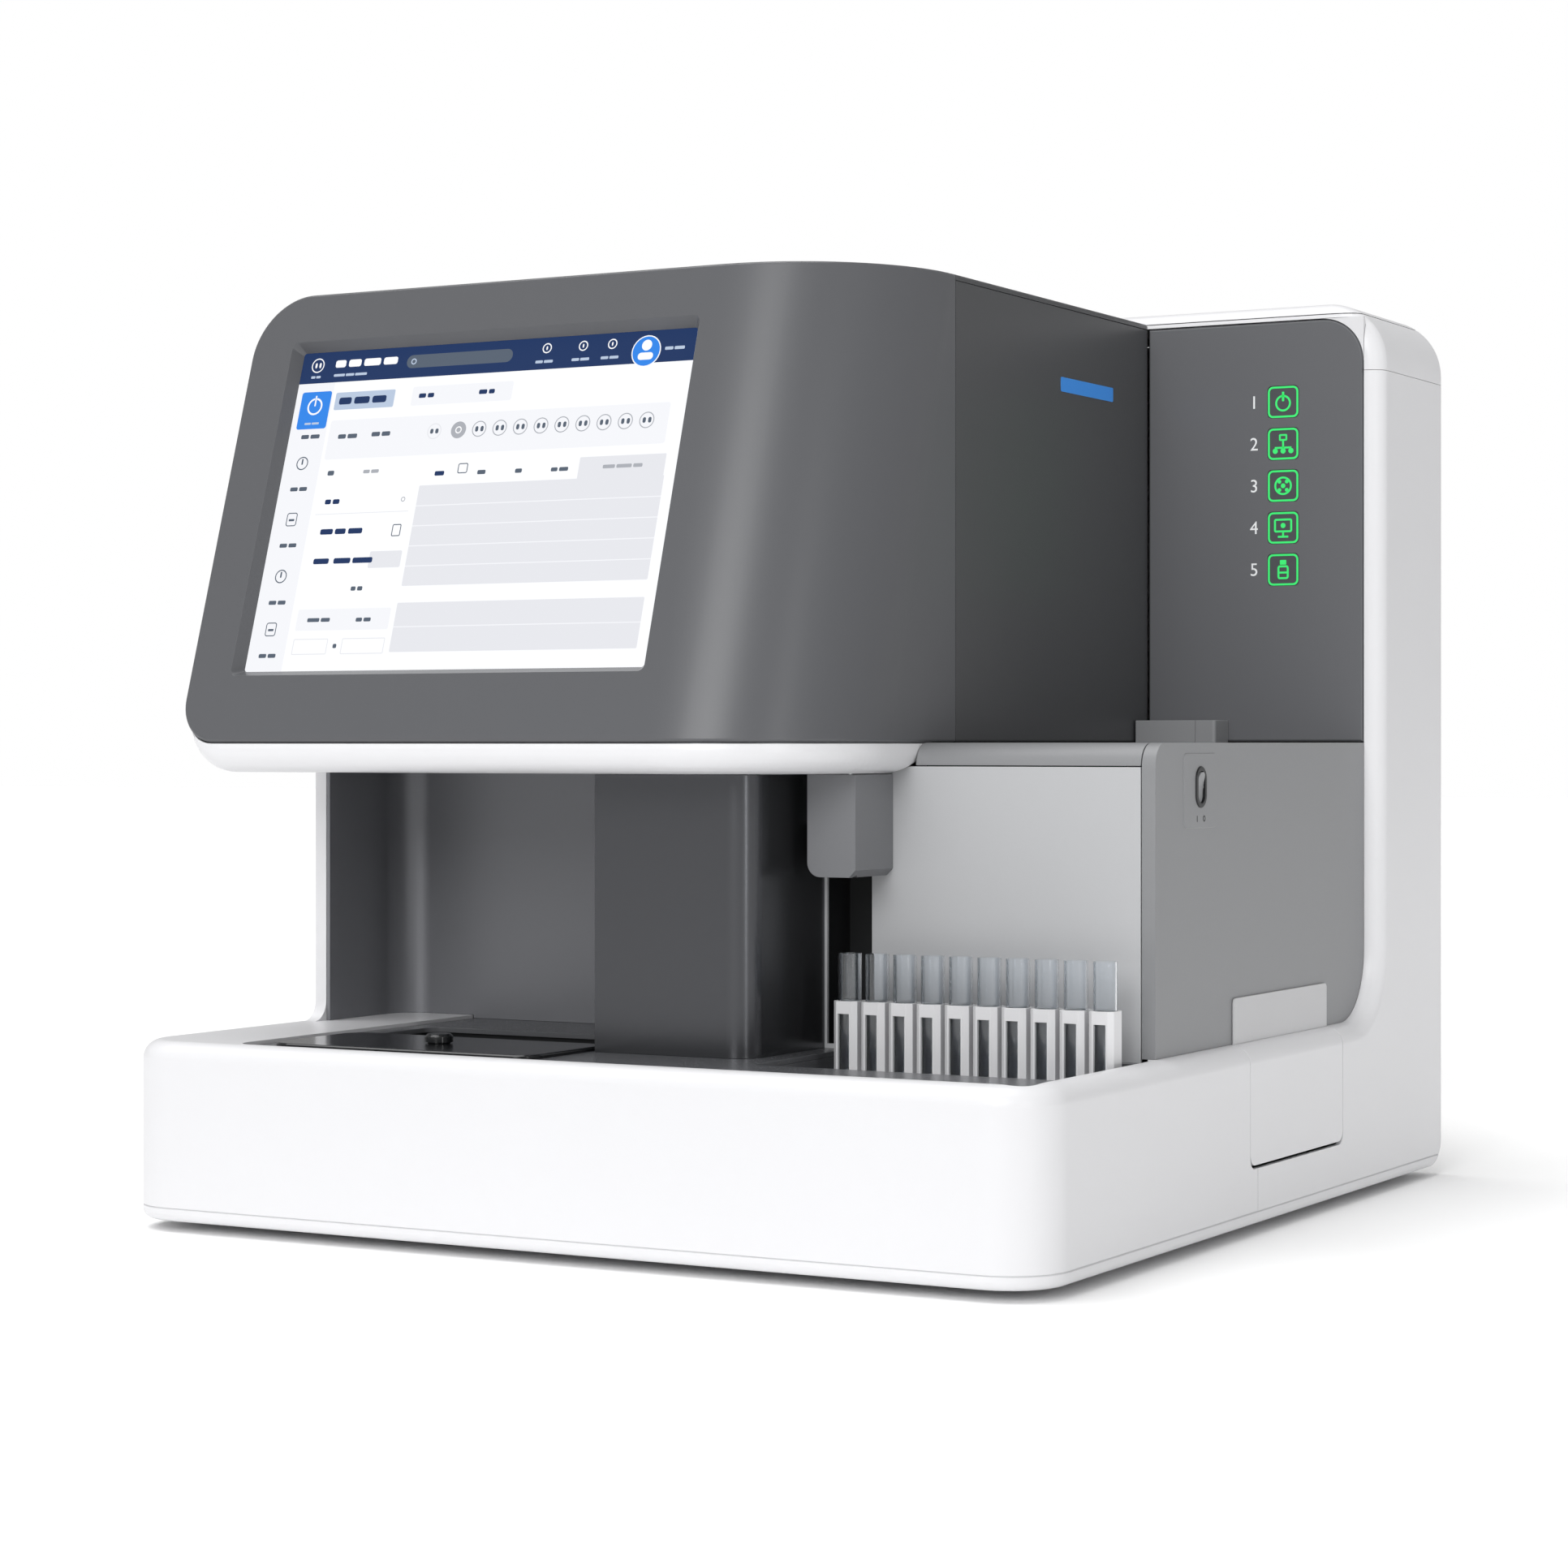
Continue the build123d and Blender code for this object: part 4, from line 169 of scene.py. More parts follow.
RECIPES = {
    # Moulded white ABS with a fine eggshell grain: a soft, even sheen.
    "white_abs": {"colour": "#DCDCDE", "roughness": 0.34, "grain_mm": 1.2, "grain": 0.12, "drift": 0.015},
    # Grey moulded covers, painted satin: reflections spread wide.
    "light_grey_abs": {"colour": "#B6B7B9", "roughness": 0.42, "grain_mm": 1.2, "grain": 0.15},
    "mid_grey_abs": {"colour": "#87888A", "roughness": 0.42, "grain_mm": 1.2, "grain": 0.15},
    "housing_grey_abs": {"colour": "#77787B", "roughness": 0.42, "grain_mm": 1.2, "grain": 0.15},
    "head_grey_paint": {"colour": "#58595C", "roughness": 0.33, "grain_mm": 1.1, "grain": 0.12},
    # A darker copy of the head paint for the hood and top cover: painted shade on the head's flank and top, which the
    # front light reaches less
    "head_paint_painted_shade": {"colour": "#464749", "roughness": 0.36, "grain_mm": 1.1, "grain": 0.12},
    "chin_white_abs": {"colour": "#DDDDDF", "roughness": 0.30, "grain_mm": 1.2, "grain": 0.08, "drift": 0.01},
    "status_panel_acrylic": {"colour": "#626366", "roughness": 0.30, "grain_mm": 0.9, "grain": 0.06},
    # Charcoal painted sheet of the bay and the pillar, with a slight metallic sheen.
    "charcoal_paint": {"colour": "#505154", "roughness": 0.24, "metallic": 0.7, "grain_mm": 0.9, "grain": 0.08},
    "bay_paint": {"colour": "#7C7D81", "roughness": 0.36, "metallic": 0.3, "grain_mm": 0.9, "grain": 0.08},
    "deck_polycarbonate": {"colour": "#5C5D60", "roughness": 0.26, "grain_mm": 1.0, "grain": 0.05},
    "black_abs": {"colour": "#161719", "roughness": 0.38, "grain_mm": 1.0, "grain": 0.12},
    "gloss_black_abs": {"colour": "#1B1C1E", "roughness": 0.16, "grain_mm": 1.0, "grain": 0.03},
    # Zinc plated sheet steel of the chassis.
    "zinc_sheet": {"colour": "#B4B6B9", "roughness": 0.34, "metallic": 1.0, "grain_mm": 4.0, "grain": 0.05,
                   "drift": 0.12},
    "rear_powder_coat": {"colour": "#DADADB", "roughness": 0.55, "grain_mm": 1.4, "grain": 0.35},
    "polished_steel": {"colour": "#D8DADC", "roughness": 0.14, "metallic": 1.0},
    "anodised_aluminium": {"colour": "#C6C8CB", "roughness": 0.30, "metallic": 1.0, "grain_mm": 0.8, "grain": 0.05},
    "foot_rubber": {"colour": "#1A1A1B", "roughness": 0.75, "grain_mm": 1.5, "grain": 0.3},
    "touch_glass": {"colour": "#0B0D12", "roughness": 0.06, "coat": 1.0},
    "display_can": {"colour": "#3A3C3F", "roughness": 0.4, "metallic": 0.8},
    "clear_polystyrene": {"colour": "#F2F5F8", "roughness": 0.05, "transmission": 1.0, "ior": 1.49, "drift": 0.0},
    "rack_white_abs": {"colour": "#DEDEE0", "roughness": 0.32, "grain_mm": 1.0, "grain": 0.06, "drift": 0.02},
    "frosted_tab": {"colour": "#D5D5D7", "roughness": 0.35, "transmission": 0.25, "ior": 1.49},
    "amber_bottle": {"colour": "#5B3418", "roughness": 0.18, "coat": 0.4},
    "solder_mask": {"colour": "#0F5A35", "roughness": 0.3, "coat": 0.3, "grain_mm": 3.0, "grain": 0.1},
    "lens_dark": {"colour": "#4E5053", "roughness": 0.22},
    "icon_green": {"colour": "#2FC460", "roughness": 0.4, "glow": 0.55, "drift": 0.0},
    "label_white": {"colour": "#E6E7E8", "roughness": 0.5, "drift": 0.0},
    "badge_blue": {"colour": "#3A8BE0", "roughness": 0.35, "drift": 0.0},
    "mark_black": {"colour": "#17181A", "roughness": 0.5, "drift": 0.0},
    "screen_white": {"colour": "#F8F9FB", "roughness": 0.25, "glow": 1.05, "drift": 0.0},
    "screen_mist": {"colour": "#F0F1F5", "roughness": 0.25, "glow": 1.05, "drift": 0.0},
    "screen_grey": {"colour": "#E2E3E8", "roughness": 0.25, "glow": 1.05, "drift": 0.0},
    "screen_line": {"colour": "#A9ACB3", "roughness": 0.25, "glow": 1.05, "drift": 0.0},
    "screen_ink": {"colour": "#55606F", "roughness": 0.25, "glow": 1.05, "drift": 0.0},
    "screen_navy": {"colour": "#16315F", "roughness": 0.25, "glow": 1.05, "drift": 0.0},
    "screen_blue": {"colour": "#2F84E6", "roughness": 0.25, "glow": 1.05, "drift": 0.0},
    "screen_sky": {"colour": "#B7C6DC", "roughness": 0.25, "glow": 1.05, "drift": 0.0},
}

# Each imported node: its finish and the width in millimetres that its sharp edges are broken to.
COVERS = {
    "rubber_feet": ("foot_rubber", 0.4), "base_tray": ("white_abs", 0.25), "base_plate": ("zinc_sheet", 0.0),
    "base_front_cover": ("white_abs", 0.35), "rear_shell": ("white_abs", 0.35), "tower_cap": ("white_abs", 0.35),
    "rack_well": ("deck_polycarbonate", 0.3), "reagent_pot": ("black_abs", 0.3),
    "deck_insert": ("deck_polycarbonate", 0.3), "deck_frame": ("zinc_sheet", 0.0),
    "right_side_cover": ("mid_grey_abs", 0.3), "left_side_cover": ("white_abs", 0.3),
    "front_panel": ("light_grey_abs", 0.2), "scan_channel": ("black_abs", 0.0),
    "shelf_cover": ("mid_grey_abs", 0.3), "bay_liner": ("bay_paint", 0.3), "pillar_cover": ("charcoal_paint", 0.3),
    "probe_housing": ("housing_grey_abs", 0.4), "head_floor": ("zinc_sheet", 0.0),
    "head_front_cover": ("head_grey_paint", 0.3), "display_glass": ("touch_glass", 0.0),
    # The hood and top cover take the darker copy of the head paint, which is painted shade
    "display_module": ("display_can", 0.0), "head_hood": ("head_paint_painted_shade", 0.3),
    "head_top_cover": ("head_paint_painted_shade", 0.3), "head_chin": ("chin_white_abs", 0.4),
    "icon_panel": ("status_panel_acrylic", 0.2), "indicator_lenses": ("lens_dark", 0.15),
    "shelf_box": ("mid_grey_abs", 0.3), "rear_panel": ("rear_powder_coat", 0.2), "fan_frame": ("black_abs", 0.3),
    "fan_rotor": ("black_abs", 0.0), "power_inlet": ("black_abs", 0.3), "data_ports": ("black_abs", 0.3),
    "socket_panel": ("rear_powder_coat", 0.2), "power_supply": ("zinc_sheet", 0.0),
    "main_board": ("solder_mask", 0.0),
    "left_frame": ("zinc_sheet", 0.0), "right_frame": ("zinc_sheet", 0.0), "body_top_frame": ("zinc_sheet", 0.0),
    "sample_rack": ("rack_white_abs", 0.2), "sample_tubes": ("clear_polystyrene", 0.0),
    "reagent_lid": ("gloss_black_abs", 0.3), "lid_knob": ("gloss_black_abs", 0.2),
    "reagent_carousel": ("anodised_aluminium", 0.3), "reagent_bottles": ("amber_bottle", 0.4),
    "drive_motors": ("black_abs", 0.0), "reaction_deck": ("anodised_aluminium", 0.0),
    "incubation_rotor": ("anodised_aluminium", 0.0), "cuvettes": ("clear_polystyrene", 0.0),
    "detector": ("black_abs", 0.0), "wash_station": ("anodised_aluminium", 0.0),
    "probe_column": ("anodised_aluminium", 0.0), "probe_carriage": ("anodised_aluminium", 0.0),
    "sample_probe": ("polished_steel", 0.0), "drawer_front": ("white_abs", 0.35), "drawer_tab": ("frosted_tab", 0.2),
    "waste_bin": ("light_grey_abs", 0.3), "drawer_runners": ("zinc_sheet", 0.0), "switch_bezel": ("black_abs", 0.15),
    "power_rocker": ("mid_grey_abs", 0.2),
}


def clear_selection():
    """Leaves nothing selected and Blender in object mode."""
    if bpy.context.object and bpy.context.object.mode != "OBJECT":
        bpy.ops.object.mode_set(mode="OBJECT")
    bpy.ops.object.select_all(action="DESELECT")


def activate(piece):
    """Makes one object the only selected one."""
    clear_selection()
    piece.select_set(True)
    bpy.context.view_layer.objects.active = piece


def seat(piece, name, body, material=None):
    """Names a finished piece, lets it ride on its body and gives it its finish."""
    piece.name = name
    piece.data.name = name
    if material:
        piece.data.materials.clear()
        piece.data.materials.append(finish(material))
    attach(piece, body)
    return piece


def body_of(node):
    """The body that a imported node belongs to."""
    return NODES[node]["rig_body"]


def weigh(piece):
    """Lets the broad faces set the shading, so that they stay flat in the light."""
    weighted = piece.modifiers.new("face weight", "WEIGHTED_NORMAL")
    weighted.mode = "FACE_AREA"
    weighted.weight = 90
    weighted.keep_sharp = True
    bpy.ops.object.modifier_apply(modifier=weighted.name)


def raw_copy(node):
    """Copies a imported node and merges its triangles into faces."""
    piece = NODES[node].copy()
    piece.data = NODES[node].data.copy()
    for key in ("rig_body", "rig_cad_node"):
        if key in piece:
            del piece[key]
    piece.parent = None
    bpy.context.scene.collection.objects.link(piece)
    activate(piece)
    bpy.ops.object.mode_set(mode="EDIT")
    bpy.ops.mesh.select_all(action="SELECT")
    bpy.ops.mesh.remove_doubles(threshold=MERGE)
    bpy.ops.mesh.dissolve_limited(angle_limit=FLAT_TURN)
    bpy.ops.object.mode_set(mode="OBJECT")
    return piece


def soften(node, material, width, piece=None):
    """Breaks a piece's sharp edges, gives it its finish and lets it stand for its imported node."""
    piece = piece or raw_copy(node)
    activate(piece)
    if width:
        bevel = piece.modifiers.new("edge break", "BEVEL")
        bevel.width = width * MM
        bevel.segments = 2
        bevel.limit_method = "ANGLE"
        bevel.angle_limit = BEVEL_TURN
        bevel.use_clamp_overlap = True
        bevel.harden_normals = False
        bpy.ops.object.modifier_apply(modifier=bevel.name)
    bpy.ops.object.shade_smooth_by_angle(angle=SHARP_TURN)
    weigh(piece)
    seat(piece, node + "_skin", body_of(node), material)
    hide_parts(node)
    return piece


def close_split(piece, split):
    """Opens a piece at the height of its split and levels the rim there."""
    reach = 0.0004
    activate(piece)
    bpy.ops.object.mode_set(mode="EDIT")
    bpy.ops.mesh.select_mode(type="FACE")
    bpy.ops.mesh.select_all(action="DESELECT")
    bpy.ops.object.mode_set(mode="OBJECT")
    corners = piece.data.vertices
    for polygon in piece.data.polygons:
        polygon.select = all(abs(corners[index].co.z - split) < reach for index in polygon.vertices)
    bpy.ops.object.mode_set(mode="EDIT")
    bpy.ops.mesh.delete(type="ONLY_FACE")
    bpy.ops.mesh.select_mode(type="VERT")
    bpy.ops.object.mode_set(mode="OBJECT")
    for corner in corners:
        if abs(corner.co.z - split) < reach:
            corner.co.z = split


def part_at(piece, height, above):
    """Cuts a piece level at a height, keeps one side of it and closes the cut."""
    activate(piece)
    bpy.ops.object.mode_set(mode="EDIT")
    bpy.ops.mesh.select_all(action="SELECT")
    bpy.ops.mesh.bisect(plane_co=(0, 0, height), plane_no=(0, 0, 1), use_fill=True, clear_inner=above,
                        clear_outer=not above)
    bpy.ops.object.mode_set(mode="OBJECT")
    return piece


def window_corner(radius, gap, wall):
    """Makes the small web that rounds the window's upper corner on the tower's front."""
    low, high = (Vector(corner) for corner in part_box("icon_panel"))
    clear_selection()
    bpy.ops.mesh.primitive_cube_add(size=1.0, location=(high.x + gap - radius / 2, low.y + wall / 2,
                                                        high.z + gap - radius / 2))
    web = bpy.context.object
    web.scale = (radius, wall, radius)
    bpy.ops.object.transform_apply(location=True, rotation=False, scale=True)
    bpy.ops.mesh.primitive_cylinder_add(vertices=96, radius=radius, depth=4 * wall, rotation=(math.pi / 2, 0, 0),
                                        location=(high.x + gap - radius, low.y, high.z + gap - radius))
    round_part = bpy.context.object
    activate(web)
    cut = web.modifiers.new("round", "BOOLEAN")
    cut.operation = "DIFFERENCE"
    cut.object = round_part
    bpy.ops.object.modifier_apply(modifier=cut.name)
    bpy.data.objects.remove(round_part)
    return web


def tower_pieces():
    """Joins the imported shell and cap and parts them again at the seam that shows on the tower's flank."""
    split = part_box("tower_cap")[0][2]
    seam_height = CAD_BOX[1][2] - CAP_DROP
    half_gap = SEAM / 2
    shell, cap = raw_copy("rear_shell"), raw_copy("tower_cap")
    for piece in (shell, cap):
        close_split(piece, split)
    whole = joined([shell, cap])
    activate(whole)
    for corner in whole.data.vertices:
        corner.select = abs(corner.co.z - split) < half_gap / 10
    bpy.ops.object.mode_set(mode="EDIT")
    bpy.ops.mesh.remove_doubles(threshold=2 * SEAM)
    bpy.ops.object.mode_set(mode="OBJECT")
    upper = whole.copy()
    upper.data = whole.data.copy()
    bpy.context.scene.collection.objects.link(upper)
    part_at(upper, seam_height + half_gap, True)
    part_at(whole, seam_height - half_gap, False)
    web = window_corner(WINDOW_RADIUS, SEAM, SHELL_WALL)
    return {"rear_shell": whole, "tower_cap": joined([upper, web])}


def rounded_flat(width, height, radius, centre, turn=0.0):
    """Adds a flat rounded rectangle in X and Z millimetres of a panel, facing -Y, as the active object."""
    clear_selection()
    bpy.ops.mesh.primitive_plane_add(size=1.0)
    flat = bpy.context.object
    flat.scale = (width, height, 1.0)
    bpy.ops.object.transform_apply(location=False, rotation=False, scale=True)
    if radius:
        bpy.ops.object.mode_set(mode="EDIT")
        bpy.ops.mesh.select_all(action="SELECT")
        bpy.ops.mesh.bevel(offset=radius, segments=5, affect="VERTICES")
        bpy.ops.object.mode_set(mode="OBJECT")
    flat.rotation_euler = (0, 0, turn)
    flat.location = (centre[0], centre[1], 0)
    bpy.ops.object.transform_apply(location=True, rotation=True, scale=True)
    return flat


def frame_flat(width, height, radius, line, centre):
    """Adds a flat outline of a rounded rectangle with a line of one width."""
    flat = rounded_flat(width, height, radius, (0, 0))
    activate(flat)
    bpy.ops.object.mode_set(mode="EDIT")
    bpy.ops.mesh.select_all(action="SELECT")
    bpy.ops.mesh.inset(thickness=line, depth=0)
    bpy.ops.mesh.delete(type="FACE")
    bpy.ops.object.mode_set(mode="OBJECT")
    flat.location = (centre[0], centre[1], 0)
    bpy.ops.object.transform_apply(location=True, rotation=False, scale=False)
    return flat


def disc_flat(radius, centre, inner=0.0, segments=28):
    """Adds a flat disc, or a ring where an inner radius is given."""
    clear_selection()
    bpy.ops.mesh.primitive_circle_add(vertices=segments, radius=radius, fill_type="NGON", location=(0, 0, 0))
    flat = bpy.context.object
    if inner:
        bpy.ops.object.mode_set(mode="EDIT")
        bpy.ops.mesh.select_all(action="SELECT")
        bpy.ops.mesh.inset(thickness=radius - inner, depth=0)
        bpy.ops.mesh.delete(type="FACE")
        bpy.ops.object.mode_set(mode="OBJECT")
    flat.location = (centre[0], centre[1], 0)
    bpy.ops.object.transform_apply(location=True, rotation=False, scale=False)
    return flat


def joined(parts):
    """Joins flats into one object and returns it."""
    clear_selection()
    for part in parts:
        part.select_set(True)
    bpy.context.view_layer.objects.active = parts[0]
    if len(parts) > 1:
        bpy.ops.object.join()
    return bpy.context.object


def lift(flat, height):
    """Raises a flat by a height in millimetres."""
    flat.location.z = height
    activate(flat)
    bpy.ops.object.transform_apply(location=True, rotation=False, scale=False)
    return flat


def paint(flat, material):
    """Gives one flat its finish before it is joined."""
    flat.data.materials.clear()
    flat.data.materials.append(finish(material))
    return flat


def hang(flat, origin, right_way, up_way):
    """Turns a drawing in millimetres onto a panel: its X runs right_way, its Y up_way."""
    x_way, y_way = Vector(right_way).normalized(), Vector(up_way).normalized()
    z_way = x_way.cross(y_way)
    turn = Matrix((x_way, y_way, z_way)).transposed().to_4x4()
    flat.matrix_world = Matrix.Translation(Vector(origin)) @ turn @ Matrix.Scale(MM, 4)
    activate(flat)
    bpy.ops.object.transform_apply(location=True, rotation=True, scale=True)
    return flat


def thicken(flat, depth_mm):
    """Gives a hung flat a small depth, outwards from its panel."""
    activate(flat)
    solid = flat.modifiers.new("depth", "SOLIDIFY")
    solid.thickness = depth_mm * MM
    solid.offset = 1.0
    bpy.ops.object.modifier_apply(modifier=solid.name)
    return flat


class AnalyzerScreenSettings(bpy.types.PropertyGroup):
    width: bpy.props.FloatProperty(name="Width", description="Width of the picture in mm", default=272.0)
    height: bpy.props.FloatProperty(name="Height", description="Height of the picture in mm", default=199.0)
    lean: bpy.props.FloatProperty(name="Lean", description="Lean of the screen from upright",
                                  default=math.radians(16.93), subtype="ANGLE")
    header: bpy.props.FloatProperty(name="Header", description="Height of the dark header in mm",
                                    default=19.6)


class AnalyzerStatusSettings(bpy.types.PropertyGroup):
    line: bpy.props.FloatProperty(name="Line", description="Width of the icon outlines in mm", default=1.25)
    digit: bpy.props.FloatProperty(name="Digit height", description="Height of the plain numbers in mm",
                                   default=8.0)
    digit_gap: bpy.props.FloatProperty(name="Digit gap", description="From icon to number in mm", default=6.0)


class AnalyzerStageSettings(bpy.types.PropertyGroup):
    floor_size: bpy.props.FloatProperty(name="Floor", description="Side of the floor",
                                        default=30.0, unit="LENGTH")
    floor_colour: bpy.props.FloatVectorProperty(name="Floor colour", description="Colour of the floor", size=4,
                                                subtype="COLOR", default=(1.0, 1.0, 1.0, 1.0), min=0.0, max=1.0)
    top_power: bpy.props.FloatProperty(name="Overhead", description="Strength of the soft light overhead",
                                       default=2.0)
    top_angle: bpy.props.FloatProperty(name="Softness", description="Spread of that light in degrees",
                                       default=50.0)
    key_power: bpy.props.FloatProperty(name="Front light", description="Strength of the front light",
                                       default=1.35)
    key_angle: bpy.props.FloatProperty(name="Front softness", description="Its spread in degrees",
                                       default=30.0)
    strip_power: bpy.props.FloatProperty(name="Strip light", description="Power of the strip light in watts",
                                         default=9.0)
    sky: bpy.props.FloatProperty(name="Sky", description="Strength of the even light all round", default=0.36)
    backdrop: bpy.props.FloatProperty(name="Backdrop", description="Brightness of the backdrop", default=1.0)
    focal: bpy.props.FloatProperty(name="Focal length", description="Focal length of the camera in mm",
                                   default=79.94)


class ANALYZER_OT_covers(bpy.types.Operator):
    """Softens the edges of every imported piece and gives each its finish"""
    bl_idname = "analyzer.covers"
    bl_label = "Covers and inner pieces"

    def execute(self, context):
        tower = tower_pieces()
        for node, (material, width) in COVERS.items():
            soften(node, material, width, tower.get(node))
        return {"FINISHED"}


class ANALYZER_OT_screen(bpy.types.Operator):
    """Draws the picture on the touchscreen"""
    bl_idname = "analyzer.screen"
    bl_label = "Screen picture"

    def execute(self, context):
        settings = context.scene.analyzer_screen
        w, h = settings.width, settings.height
        parts = []

        def area(x0, y0, x1, y1, material, level, radius=0.0):
            flat = rounded_flat(x1 - x0, y1 - y0, radius, ((x0 + x1) / 2 - w / 2, h / 2 - (y0 + y1) / 2))
            parts.append(lift(paint(flat, material), level))

        def ring(x, y, radius, inner, material, level):
            parts.append(lift(paint(disc_flat(radius, (x - w / 2, h / 2 - y), inner), material), level))

        def outline(x0, y0, x1, y1, material, level, radius=1.0, line=0.5):
            flat = frame_flat(x1 - x0, y1 - y0, radius, line, ((x0 + x1) / 2 - w / 2, h / 2 - (y0 + y1) / 2))
            parts.append(lift(paint(flat, material), level))

        def words(x, y, lengths, height, material, level=0.12):
            at = x
            for length in lengths:
                area(at, y - height / 2, at + length, y + height / 2, material, level, height * 0.3)
                at += length + height * 0.45

        area(0, 0, w, h, "screen_white", 0.02)
        area(0, 0, w, settings.header, "screen_navy", 0.06)
        # Header: round mark, title bars, search field, three small signs and the round badge
        ring(11.5, 8.2, 4.6, 3.9, "screen_white", 0.1)
        words(9.6, 8.2, (1.4, 1.4), 3.4, "screen_white")
        words(8.0, 15.6, (3.0, 3.2), 1.5, "screen_sky")
        words(24.5, 8.0, (7.5, 9.0, 12.0, 10.0), 4.6, "screen_white")
        words(24.5, 15.2, (8.0, 6.0, 8.5), 1.6, "screen_sky")
        area(76, 5.4, 150, 13.6, "screen_ink", 0.09, 4.0)
        ring(81, 9.5, 1.9, 1.2, "screen_sky", 0.13)
        for x in (173, 197.5, 217):
            ring(x, 6.6, 3.1, 2.4, "screen_white", 0.1)
            words(x - 0.5, 6.6, (1.0,), 2.4, "screen_white")
            words(x - 6.5, 14.8, (5.0, 6.0), 1.7, "screen_sky")
        ring(240.2, 12.4, 9.6, 0, "screen_white", 0.14)
        ring(240.2, 12.4, 8.9, 0, "screen_blue", 0.18)
        ring(240.2, 8.8, 3.3, 0, "screen_white", 0.22)
        area(235.2, 13.2, 245.2, 17.6, "screen_white", 0.22, 2.1)
        words(252.4, 11.4, (5.4, 6.6), 1.9, "screen_sky")
        # Left column of buttons
        area(0, settings.header, 26.5, h, "screen_mist", 0.04)
        area(4.0, 25.0, 25.6, 48.6, "screen_blue", 0.1, 1.6)
        ring(14.8, 34.4, 5.4, 4.3, "screen_white", 0.14)
        area(14.0, 27.6, 15.6, 35.0, "screen_blue", 0.16)
        area(14.3, 27.6, 15.3, 34.2, "screen_white", 0.18)
        words(9.6, 45.2, (4.6, 5.2), 1.3, "screen_sky", 0.16)
        words(9.0, 53.5, (5.6, 6.6), 2.6, "screen_ink")
        for index, y in enumerate((70.2, 105.3, 140.6, 173.2)):
            if index % 2:
                outline(9.6, y - 4.2, 17.2, y + 4.2, "screen_ink", 0.1, 1.6, 0.6)
                words(11.4, y + 0.4, (4.0,), 1.4, "screen_ink")
            else:
                ring(13.4, y, 4.2, 3.5, "screen_ink", 0.1)
                words(12.8, y - 1.0, (1.1,), 3.6, "screen_ink")
            words(8.2, y + 16.2, (5.4, 5.6), 2.5, "screen_ink")
        # Tabs and fields over the table
        area(28.9, 26.4, 71.6, 37.4, "screen_sky", 0.1, 1.0)
        words(32.0, 31.9, (9.0, 11.0, 10.0), 4.4, "screen_navy", 0.16)
        area(84.0, 25.6, 154.0, 37.4, "screen_mist", 0.07, 1.4)
        words(89.0, 31.4, (5.0, 4.4), 2.8, "screen_navy")
        words(131.0, 31.2, (5.6, 4.0), 2.8, "screen_navy")
        area(28.9, 44.0, 262.0, 68.6, "screen_mist", 0.07, 1.6)
        words(36.0, 54.4, (5.6, 6.8), 2.8, "screen_ink")
        words(60.0, 54.0, (6.0, 6.0), 2.8, "screen_ink")
        ring(104.4, 54.1, 4.9, 4.3, "screen_grey", 0.1)
        words(101.6, 54.1, (2.2, 2.2), 3.0, "screen_ink", 0.14)
        ring(121.3, 54.1, 5.2, 0, "screen_line", 0.1)
        ring(121.3, 54.1, 2.2, 1.5, "screen_white", 0.14)
        for index in range(9):
            x = 135.6 + index * 14.05
            ring(x, 54.1, 4.9, 4.3, "screen_line", 0.1)
            words(x - 2.7, 54.1, (2.1, 2.1), 3.4, "screen_ink", 0.14)
        words(33.4, 77.2, (4.6,), 3.0, "screen_ink")
        words(59.0, 77.2, (4.6, 5.4), 2.2, "screen_line")
        words(110.0, 80.4, (6.6,), 2.8, "screen_navy")
        outline(125.6, 74.8, 132.4, 81.0, "screen_ink", 0.1, 1.2, 0.6)
        words(139.6, 80.8, (5.6,), 2.6, "screen_ink")
        words(165.4, 81.0, (4.6,), 2.6, "screen_ink")
        words(189.6, 81.2, (4.4, 6.0), 2.4, "screen_ink")
        area(208.0, 74.6, 264.6, 90.5, "screen_grey", 0.08, 0.6)
        words(224.0, 80.9, (8.0, 10.0, 6.0), 2.2, "screen_line")
        # Table and lower field
        area(100.8, 87.4, 265.2, 148.5, "screen_grey", 0.07, 0.8)
        for index in range(1, 5):
            area(100.8, 87.4 + index * 12.2, 265.2, 88.0 + index * 12.2, "screen_mist", 0.1)
        area(100.2, 158.6, 265.2, 188.2, "screen_grey", 0.07, 0.8)
        area(100.2, 172.8, 265.2, 173.4, "screen_mist", 0.1)
        # List beside the table
        words(35.4, 95.2, (4.2, 4.8), 3.0, "screen_navy")
        area(30.0, 102.6, 96.0, 103.0, "screen_grey", 0.08)
        words(36.0, 113.8, (9.0, 7.6), 3.4, "screen_navy")
        words(56.0, 113.8, (10.0,), 3.4, "screen_navy")
        outline(87.0, 110.6, 93.2, 118.0, "screen_ink", 0.1, 1.0, 0.6)
        area(74.5, 126.8, 97.0, 137.0, "screen_grey", 0.08, 1.0)
        words(35.0, 132.0, (11.0,), 3.4, "screen_navy")
        words(49.4, 132.0, (12.0, 14.0), 3.4, "screen_navy")
        words(65.4, 149.3, (3.4, 3.6), 2.6, "screen_ink")
        area(31.0, 161.4, 96.5, 174.4, "screen_mist", 0.08, 1.0)
        words(38.5, 168.0, (8.6, 6.4), 2.4, "screen_ink")
        words(73.0, 168.3, (4.4, 5.0), 2.4, "screen_ink")
        outline(31.4, 179.4, 56.0, 189.0, "screen_grey", 0.1, 0.8, 0.5)
        outline(66.0, 179.4, 96.0, 189.0, "screen_grey", 0.1, 0.8, 0.5)
        words(60.0, 184.0, (2.6,), 2.6, "screen_ink")
        ring(91.0, 95.4, 1.5, 1.0, "screen_line", 0.1)
        picture = joined(parts)
        low, high = (Vector(corner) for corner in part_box("display_glass"))
        out = Vector((0, -math.cos(settings.lean), math.sin(settings.lean)))
        up = Vector((0, math.sin(settings.lean), math.cos(settings.lean)))
